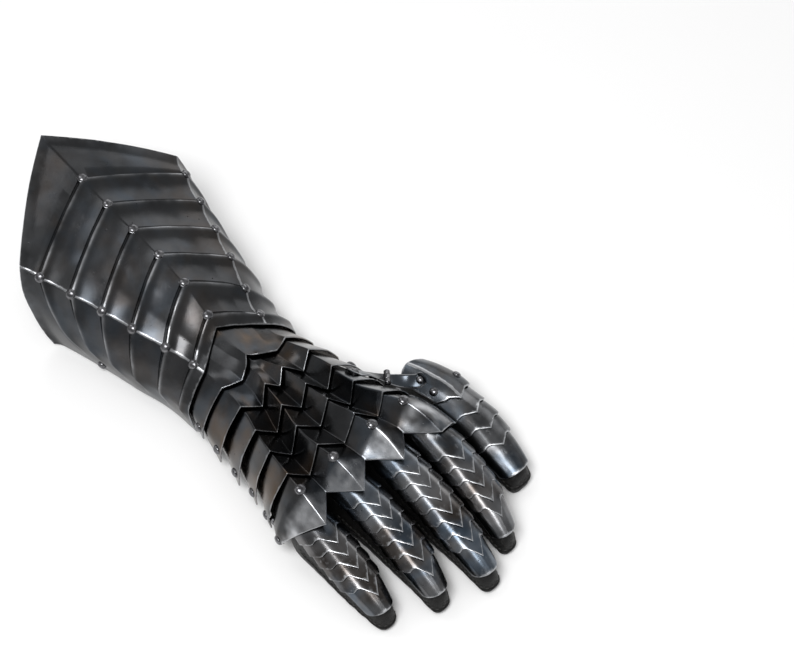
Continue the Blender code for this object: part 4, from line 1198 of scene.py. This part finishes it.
def make_thumb_hinge():
    """Small hinge: two leaves carried along a line from the hand to the thumb plate, and a
    barrel in three knuckles across their middle."""
    hand_lift, thumb_lift = HINGE_LIFTS
    stops = [seat(HAND, place[0] * LENGTH, place[1], hand_lift) for place in HINGE_STOPS[:2]]
    stops += [seat(THUMB, place[0] * LENGTH, place[1], thumb_lift) for place in HINGE_STOPS[2:]]
    places = np.array([stop[0] for stop in stops])
    ways = np.array([stop[1] for stop in stops])
    shares = np.concatenate([np.linspace(0, .3, 8), np.linspace(.4, 2.6, 30),
                             np.linspace(2.7, 3, 8)])
    middle = np.stack([hermite(range(4), places[:, k], shares) for k in range(3)], -1)
    up = np.stack([np.interp(shares, range(4), ways[:, k]) for k in range(3)], -1)
    across = np.cross(np.gradient(middle, axis=0), up)
    across /= np.linalg.norm(across, axis=1, keepdims=True)
    ends = np.clip(np.minimum(shares, 3 - shares) / .3, 0, 1)
    half = HINGE_HALF_WIDTH * np.sqrt(1 - (1 - ends) ** 2) + .05
    half = half - .5 * np.exp(-((shares - 1.5) / .5) ** 2)
    side = np.linspace(-1, 1, 13)[None, :, None]
    lower = middle[:, None] + across[:, None] * half[:, None, None] * side
    fall = np.clip((np.abs(side) - .85) / .15, 0, 1) ** 2 * .4
    upper = lower + up[:, None] * (STEEL - fall)
    points, faces = sheet(upper, lower)
    wear = np.broadcast_to(np.exp(-(1 - np.abs(side)) / .12), upper.shape[:2] + (1,)).ravel()
    obj = add_object("thumb_hinge_leaves", points, faces, knuckle_steel(), 40.0,
                     np.zeros((len(points), 2)),
                     (("wear", np.concatenate([wear, wear * 0])),
                      ("polish_and_highlight", np.zeros(len(points)))))
    face_outward(obj.data)
    belongs(obj, "blackened_steel", "thumb_hinge")
    centre = int(np.argmin(np.abs(shares - 1.5)))
    axle, top = across[centre], up[centre]
    raised = middle[centre] + top * HINGE_BARREL_RISE
    parts = []
    for low, high in HINGE_KNUCKLES:
        run = np.array([low, low + .25, high - .25, high])
        path = raised + axle * run[:, None]
        size = np.array(HINGE_KNUCKLE_RADII)
        parts.append(carried_tube(path, np.tile(top, (4, 1)), size, size, 20))
    path = raised + axle * np.array(HINGE_PIN)[:, None]
    size = np.array(HINGE_PIN_RADII)
    parts.append(carried_tube(path, np.tile(top, (6, 1)), size, size, 16))
    barrel = add_object("thumb_hinge_barrel", *joined(parts), rivet_steel(), 40.0)
    belongs(barrel, "blackened_steel")
    seats = [(middle[k] + up[k] * STEEL, up[k], .8) for k in (9, len(shares) - 10)]
    domes("thumb_hinge_rivets", seats, rivet_steel())


# Glove

def palm_ring(x, inset):
    """Points round the glove at station x: over the back, down the thumb's side, under the
    palm and up the little finger's side."""
    t = np.concatenate([np.linspace(9, 1, 17), SIDE_LINES, 10 - np.array(SIDE_LINES[::-1])])
    stations = np.full(t.shape, x)
    points = hand_place(stations, t) - HAND.crease_out(stations, t) * inset
    points[:, 0] = x
    edges = hand_place(np.full(2, x), np.array([0, 10.0]))[:, 1]
    under_y = np.linspace(edges[0] - 3, edges[1] + 3, UNDER_POINTS)
    under = np.stack([np.full(UNDER_POINTS, x), under_y, np.zeros(UNDER_POINTS)], 1)
    return np.concatenate([points[:20], under, points[20:]])


def leather_ring(top, shrink, shares, out, under_count):
    """Points round a leather finger: its roof drawn in towards its middle, down one side at
    shares of the eave's height, along the floor and up the other side."""
    middle = top[2, 1]
    top[:, 1] = middle + (top[:, 1] - middle) * shrink
    top[:, 2] = np.maximum(top[:, 2] - GLOVE_SLACK, LEAST_EAVE) * shrink
    near, far = top[0], top[-1]
    way = np.sign(far[1] - near[1])
    x, shares, out = top[0, 0], np.array(shares), np.array(out)
    steps = np.full(len(shares), x)
    first = np.stack([steps, far[1] + way * out, far[2] * shares], 1)
    second = np.stack([steps, near[1] - way * out, near[2] * shares], 1)
    under_y = np.linspace(far[1] - 2 * way * shrink, near[1] + 2 * way * shrink, under_count)
    under = np.stack([np.full(under_count, x), under_y, np.zeros(under_count)], 1)
    return np.concatenate([top, first, under, second[::-1]])


def finger_ring(row, x, shrink=1.0):
    """Points round a leather finger at station x, in the order of its share of the palm."""
    top = finger_place(row)(np.full(5, x), np.array(RING_LINES[::-1]))
    return leather_ring(top, shrink, SIDE_LINES, (.3, .2, -.4), 3)


def thumb_ring(x, shrink=1.0):
    """Points round the leather thumb at station x, outer side first."""
    top = thumb_place(np.full(5, x), np.array(RING_LINES))
    return leather_ring(top, shrink, (.62, .25), (.3, .1), 5)


class Skein:
    """Points and faces of a surface made of rings joined to rings."""

    def __init__(self):
        self.points = []
        self.faces = []

    def ring(self, points):
        """Add points and return their numbers."""
        start = len(self.points)
        self.points.extend(points)
        return list(range(start, len(self.points)))

    def join(self, one, two, skip=()):
        """Quads between two rings, leaving out the listed spans."""
        count = len(one)
        for k in range(count):
            if k not in skip:
                after = (k + 1) % count
                self.faces.append((one[k], one[after], two[after], two[k]))

    def close(self, ring, tip):
        """Fan from a ring to a tip point."""
        self.points.append(tip)
        for k, number in enumerate(ring):
            self.faces.append((number, ring[(k + 1) % len(ring)], len(self.points) - 1))


def tube(skein, first, rings):
    """Run a closed finger from its first ring to a rounded tip."""
    for points in rings:
        following = skein.ring(points)
        skein.join(first, following)
        first = following
    skein.close(first, np.mean(rings[-1], 0) + (LEATHER_TIP * .12, 0, 0))


def tip_stations(end):
    """Stations and shrink of the rounded leather tip past a tip plate's end."""
    return [(end - 1.0, 1.0), (end + LEATHER_TIP * .45, .86), (end + LEATHER_TIP * .85, .55)]


def glove_fingers(skein, web):
    """Four fingers from the last palm ring, sharing the webs between them."""
    web_x = skein.points[web[0]][0]
    top, left_web = web[:17], web[17:20]
    under, little_side = web[20:20 + UNDER_POINTS], web[20 + UNDER_POINTS:]
    for k, row in enumerate(FINGERS):
        over, below = top[12 - 4 * k:17 - 4 * k], under[2 * k:2 * k + 3]
        if k == len(FINGERS) - 1:
            right_web = little_side[::-1]
        else:
            high, low = skein.points[over[0]], skein.points[below[-1]]
            right_web = skein.ring([high + (low - high) * share for share in (.28, .58, .85)])
        end = row[5] * LENGTH
        rings = [finger_ring(row, x) for x in np.linspace(web_x + 8, end - 12, 6)]
        rings += [finger_ring(row, x, shrink) for x, shrink in tip_stations(end)]
        tube(skein, over + left_web + below + right_web[::-1], rings)
        left_web = right_web


def glove_thumb(skein, rings):
    """Thumb from the gap in the palm's thumb side: it leads outward, then turns forward."""
    over = [ring[17] for ring in rings]
    under = [ring[20] for ring in rings[::-1]]
    loop = over + [rings[-1][18], rings[-1][19]] + under + [rings[0][19], rings[0][18]]
    base = np.array([skein.points[number] for number in loop])
    root = thumb_ring(THUMB_ROOT * LENGTH)
    inner = []
    for share in (.18, .45, .74):
        points = base + (root - base) * share
        points = points + np.array([-2.0, 3.0, 0]) * 4 * share * (1 - share)
        points[:, 2] = np.maximum(base[:, 2] + (root[:, 2] - base[:, 2]) * share ** 2.2, 0)
        inner.append(points)
    end = THUMB_END * LENGTH
    stations = np.linspace(THUMB_ROOT * LENGTH + 14, end - 14, 4)
    inner += [root] + [thumb_ring(x) for x in stations]
    inner += [thumb_ring(x, shrink) for x, shrink in tip_stations(end)]
    tube(skein, loop, inner)


def glove_cage():
    """Coarse rings of the whole glove; returns the skein and the sleeve's open ring."""
    skein = Skein()
    rings = []
    for station in PALM_STATIONS:
        inset = SLEEVE_SLACK if station < SLEEVE_END else GLOVE_SLACK
        rings.append(skein.ring(palm_ring(station * LENGTH, inset)))
    first, last = THUMB_HOLE
    for k in range(len(rings) - 1):
        skein.join(rings[k], rings[k + 1], THUMB_SPANS if first <= k < last else ())
    glove_fingers(skein, rings[-1])
    glove_thumb(skein, rings[first:last + 1])
    return skein, rings[0]


def pinch(angle):
    """A fold: round on top and pinched in its furrow, 1 to 0 to 1 over half a turn."""
    return np.sqrt(np.abs(np.sin(angle)) + 1e-6)


def folds(points):
    """Depth of the leather's folds, 0 to -1: pinched waves across the wrist, round the thumb's
    root and across the fingers, each fading away from its place. They are bent by slow sines."""
    x, y, z = points[:, 0], points[:, 1], points[:, 2]
    bend = 3.0 * np.sin(y * .09 + z * .12) + 1.8 * np.sin(y * .21 - z * .17 + 1.0)
    wrist = np.exp(-((x - 200) / 34) ** 2) * (pinch((x + bend) * .26) - 1)
    reach = np.hypot(x - 268, (y - 34) * 1.2)
    root = np.exp(-((reach - 22) / 16) ** 2) * (z < 38) * (y > 20)
    turn = np.arctan2(y - 34, x - 268)
    root = root * (pinch(turn * 5.5 + bend * .25) - 1)
    finger = np.clip((x - 300) / 20, 0, 1) * (pinch((x + .6 * bend) * .34) - 1) * .55
    low = np.sin(x * .13 + 1.0) * np.sin(y * .17) * np.sin(z * .2 + .5) * .25
    return .8 * wrist + root + finger + low


def make_glove():
    """Hollow glove: rings joined, subdivided twice, pressed in by its folds, flattened where it
    lies, and thickened inward."""
    form = bpy.context.scene.gauntlet_form
    skein, mouth = glove_cage()
    cage = add_object("glove_cage", np.array(skein.points), skein.faces + [tuple(mouth)],
                      glove_leather(), 180.0)
    face_outward(cage.data, True)
    smooth = cage.modifiers.new("rounding", "SUBSURF")
    smooth.levels = smooth.render_levels = 2
    graph = bpy.context.evaluated_depsgraph_get()
    mesh = bpy.data.meshes.new_from_object(cage.evaluated_get(graph))
    bpy.data.objects.remove(cage)
    count = len(mesh.vertices)
    flat, out = np.empty(count * 3, np.float32), np.empty(count * 3, np.float32)
    mesh.vertices.foreach_get("co", flat)
    mesh.vertices.foreach_get("normal", out)
    place, out = flat.reshape(-1, 3) / MM + ORIGIN, out.reshape(-1, 3)
    depth = folds(place) * form.fold_depth / MM * np.clip(place[:, 2] / 4, 0, 1)
    place = place + out * (depth + .3)[:, None]
    place[:, 2] = np.maximum(place[:, 2], 0)
    moved = (place - ORIGIN) * MM
    mesh.vertices.foreach_set("co", moved.astype(np.float32).ravel())
    mesh.update()
    glove = bpy.data.objects.new("leather_glove", mesh)
    bpy.context.scene.collection.objects.link(glove)
    wall = glove.modifiers.new("wall", "SOLIDIFY")
    wall.thickness = LEATHER * MM
    wall.offset = -1.0
    belongs(glove, "black_leather", "glove")
    return glove


def seam_path(ring_of, end, first, number):
    """Line along both sides of a leather finger and round its tip, through one point of each
    ring on either side."""
    stations = np.linspace(first, end - 1, 26)
    left = np.array([ring_of(x)[number[0]] for x in stations])
    right = np.array([ring_of(x)[number[1]] for x in stations])
    turn = np.linspace(0, math.pi, 13)[1:-1, None]
    middle, half = (left[-1] + right[-1]) / 2, (left[-1] - right[-1]) / 2
    front = middle + half * np.cos(turn) + np.array([LEATHER_TIP * .9, 0, 0]) * np.sin(turn)
    return np.concatenate([left, front, right[::-1]])


def even_points(path, pitch):
    """Points along a line at even distances."""
    run = np.concatenate([[0], np.cumsum(np.linalg.norm(np.diff(path, axis=0), axis=1))])
    count = max(int(run[-1] / pitch), 2)
    places = np.linspace(0, run[-1], count)
    return np.stack([np.interp(places, run, path[:, k]) for k in range(3)], 1)


def make_seams(glove):
    """Sewn welts along the fingers and the thumb with a row of stitches beside each, laid onto
    the leather; and two rows of stitches round the sleeve."""
    form = bpy.context.scene.gauntlet_form
    tree = BVHTree.FromPolygons([v.co for v in glove.data.vertices],
                                [tuple(p.vertices) for p in glove.data.polygons])

    def laid(points):
        """Nearest places on the leather and its outward directions, in mm."""
        found = [tree.find_nearest(Vector((p - ORIGIN) * MM)) for p in points]
        places = np.array([hit[0] for hit in found]) / MM + ORIGIN
        return places, np.array([hit[1] for hit in found])

    welts, stitches = [], []
    lines = []
    for row in FINGERS:
        lines.append(seam_path(lambda x, row=row: finger_ring(row, x), row[5] * LENGTH,
                               302.0, (6, 12)))
    lines.append(seam_path(thumb_ring, THUMB_END * LENGTH, 296.0, (13, 5)))
    for line in lines:
        place, out = laid(even_points(line, 1.2))
        ends = np.clip(np.minimum(np.arange(len(place)), np.arange(len(place))[::-1]) / 3, .2, 1)
        welts.append(carried_tube(place + out * .15, out, .95 * ends, .62 * ends, 10))
        place, out = laid(even_points(line + np.array([0, 0, 2.3]), form.stitch_pitch / MM))
        stitches.append((place, out))
    for station in (.340, .348):
        ring = palm_ring(station * LENGTH, SLEEVE_SLACK)
        place, out = laid(even_points(np.concatenate([ring, ring[:1]]), form.stitch_pitch / MM))
        stitches.append((place, out))
    parts = []
    for place, out in stitches:
        way = np.gradient(place, axis=0)
        way /= np.linalg.norm(way, axis=1, keepdims=True)
        for k in range(len(place)):
            run = np.array([-1.0, -.75, 0, .75, 1.0])
            lift = np.array([-.10, .14, .24, .14, -.10])
            path = place[k] + way[k] * run[:, None] + out[k] * lift[:, None]
            size = np.array([.12, .26, .30, .26, .12])
            parts.append(carried_tube(path, np.tile(out[k], (5, 1)), size, size, 6))
    welt = add_object("seam_welts", *joined(welts), glove_leather(), 60.0)
    thread = add_object("stitches", *joined(parts), waxed_thread(), 60.0)
    belongs(welt, "black_leather")
    belongs(thread, "black_leather")


# Stage

CAMERA_AZIMUTH, CAMERA_ELEVATION = math.radians(46), math.radians(54)
CAMERA_TARGET = Vector((.030, .0891, .030))
CAMERA_DISTANCE = 1.3785
# Lights: name, place, size, watts
LIGHTS = (
    ("key", (.30, -.62, 1.32), (.70, .50), 15),
    ("back_panel", (-.8, 1.5, .9), (1.8, 1.0), 7),
    ("rear_top", (-.85, -.2, 1.25), (.35, .8), 2),
)
WORLD_STRENGTH = .5


def make_floor():
    """Pale floor that curves up far behind the gauntlet."""
    finish = bpy.context.scene.gauntlet_finish
    mat, w, shader = new_material("studio_paper")
    place = w.place()
    cloud = w.noise(place, 3.0, 2.0)
    w.link(w.mix(cloud, tuple(finish.floor), (.94, .94, .94)), shader["Base Color"])
    shader["Roughness"].default_value = .9
    shader["Specular IOR Level"].default_value = .1
    run, side = np.meshgrid(np.linspace(-3, 3, 25), np.linspace(-3, 3, 25), indexing="ij")
    reach = np.clip(np.hypot(run, side) - 2.0, 0, None)
    points = np.stack([run, side, .35 * reach ** 2 - .0004], -1).reshape(-1, 3) / MM
    points += ORIGIN
    floor = add_object("floor", points, grid_quads(25, 25, flip=True), mat)


def add_light(name, place, size, power, target=(0, 0, .03)):
    """Square soft light aimed at the gauntlet."""
    data = bpy.data.lights.new(name, "AREA")
    data.shape = "RECTANGLE"
    data.size, data.size_y = size
    data.energy = power
    light = bpy.data.objects.new(name, data)
    light.location = place
    way = Vector(place) - Vector(target)
    light.rotation_mode = "QUATERNION"
    light.rotation_quaternion = way.to_track_quat("Z", "Y")
    bpy.context.scene.collection.objects.link(light)


def make_lights():
    """Soft key light beside the camera, a wide panel behind and a dim strip over the cuff."""
    scene = bpy.context.scene
    scene.world = bpy.data.worlds.new("studio")
    scene.world.use_nodes = True
    background = scene.world.node_tree.nodes["Background"]
    background.inputs["Color"].default_value = (1, 1, 1, 1)
    background.inputs["Strength"].default_value = WORLD_STRENGTH
    for row in LIGHTS:
        add_light(*row)
    scene.view_settings.view_transform = "Standard"


def make_camera():
    """Camera at the photograph's angle: azimuth 46, elevation 54 degrees, 1.38 m away."""
    flat = math.cos(CAMERA_ELEVATION)
    away = Vector((math.sin(CAMERA_AZIMUTH) * flat, -math.cos(CAMERA_AZIMUTH) * flat,
                   math.sin(CAMERA_ELEVATION)))
    data = bpy.data.cameras.new("camera")
    data.lens = 100
    data.sensor_width = 36
    data.clip_start, data.clip_end = .05, 20
    camera = bpy.data.objects.new("camera", data)
    camera.location = CAMERA_TARGET + away * CAMERA_DISTANCE
    camera.rotation_mode = "QUATERNION"
    camera.rotation_quaternion = away.to_track_quat("Z", "Y")
    bpy.context.scene.collection.objects.link(camera)
    bpy.context.scene.camera = camera


# Operators

class GAUNTLET_OT_cuff(Operator):
    """Make the ribbed cuff and its rivets"""

    bl_idname = "gauntlet.cuff"
    bl_label = "Cuff"

    def execute(self, context):
        make_cuff()
        return {"FINISHED"}


class GAUNTLET_OT_lames(Operator):
    """Make the lames over wrist and hand"""

    bl_idname = "gauntlet.lames"
    bl_label = "Lames"

    def execute(self, context):
        make_lames()
        return {"FINISHED"}


class GAUNTLET_OT_knuckle_plate(Operator):
    """Make the gabled knuckle plate"""

    bl_idname = "gauntlet.knuckle_plate"
    bl_label = "Knuckle plate"

    def execute(self, context):
        make_knuckle_plate()
        return {"FINISHED"}


class GAUNTLET_OT_finger_scales(Operator):
    """Make the scales of the four fingers"""

    bl_idname = "gauntlet.finger_scales"
    bl_label = "Finger scales"

    def execute(self, context):
        make_finger_scales()
        return {"FINISHED"}


class GAUNTLET_OT_thumb(Operator):
    """Make the thumb's plates and its hinge"""

    bl_idname = "gauntlet.thumb"
    bl_label = "Thumb plates and hinge"

    def execute(self, context):
        make_thumb_plates()
        make_thumb_hinge()
        return {"FINISHED"}


class GAUNTLET_OT_glove(Operator):
    """Make the leather glove with its seams and stitches"""

    bl_idname = "gauntlet.glove"
    bl_label = "Glove"

    def execute(self, context):
        make_seams(make_glove())
        return {"FINISHED"}


class GAUNTLET_OT_stage(Operator):
    """Make the floor, the lights and the camera"""

    bl_idname = "gauntlet.stage"
    bl_label = "Stage"

    def execute(self, context):
        make_floor()
        make_lights()
        make_camera()
        return {"FINISHED"}


OPERATORS = (GAUNTLET_OT_cuff, GAUNTLET_OT_lames, GAUNTLET_OT_knuckle_plate,
             GAUNTLET_OT_finger_scales, GAUNTLET_OT_thumb, GAUNTLET_OT_glove, GAUNTLET_OT_stage)


class GAUNTLET_PT_sidebar(Panel):
    """Lists the gauntlet's pieces and settings"""

    bl_label = "Gauntlet"
    bl_idname = "GAUNTLET_PT_sidebar"
    bl_space_type = "VIEW_3D"
    bl_region_type = "UI"
    bl_category = "Gauntlet"

    def draw(self, context):
        for group in (context.scene.gauntlet_form, context.scene.gauntlet_finish):
            for name in group.bl_rna.properties.keys():
                if name not in ("rna_type", "name"):
                    self.layout.prop(group, name)
        for operator in OPERATORS:
            self.layout.operator(operator.bl_idname)


CLASSES = (GauntletForm, GauntletFinish, *OPERATORS, GAUNTLET_PT_sidebar)


def register():
    """Register the classes and hang the settings on the scene."""
    for cls in CLASSES:
        bpy.utils.register_class(cls)
    bpy.types.Scene.gauntlet_form = PointerProperty(type=GauntletForm)
    bpy.types.Scene.gauntlet_finish = PointerProperty(type=GauntletFinish)


def unregister():
    """Take the settings and the classes away again."""
    del bpy.types.Scene.gauntlet_finish
    del bpy.types.Scene.gauntlet_form
    for cls in reversed(CLASSES):
        bpy.utils.unregister_class(cls)


def main():
    """Make every piece and the stage."""
    register()
    bpy.ops.gauntlet.cuff()
    bpy.ops.gauntlet.lames()
    bpy.ops.gauntlet.knuckle_plate()
    bpy.ops.gauntlet.finger_scales()
    bpy.ops.gauntlet.thumb()
    bpy.ops.gauntlet.glove()
    bpy.ops.gauntlet.stage()


if __name__ == "__main__":
    main()
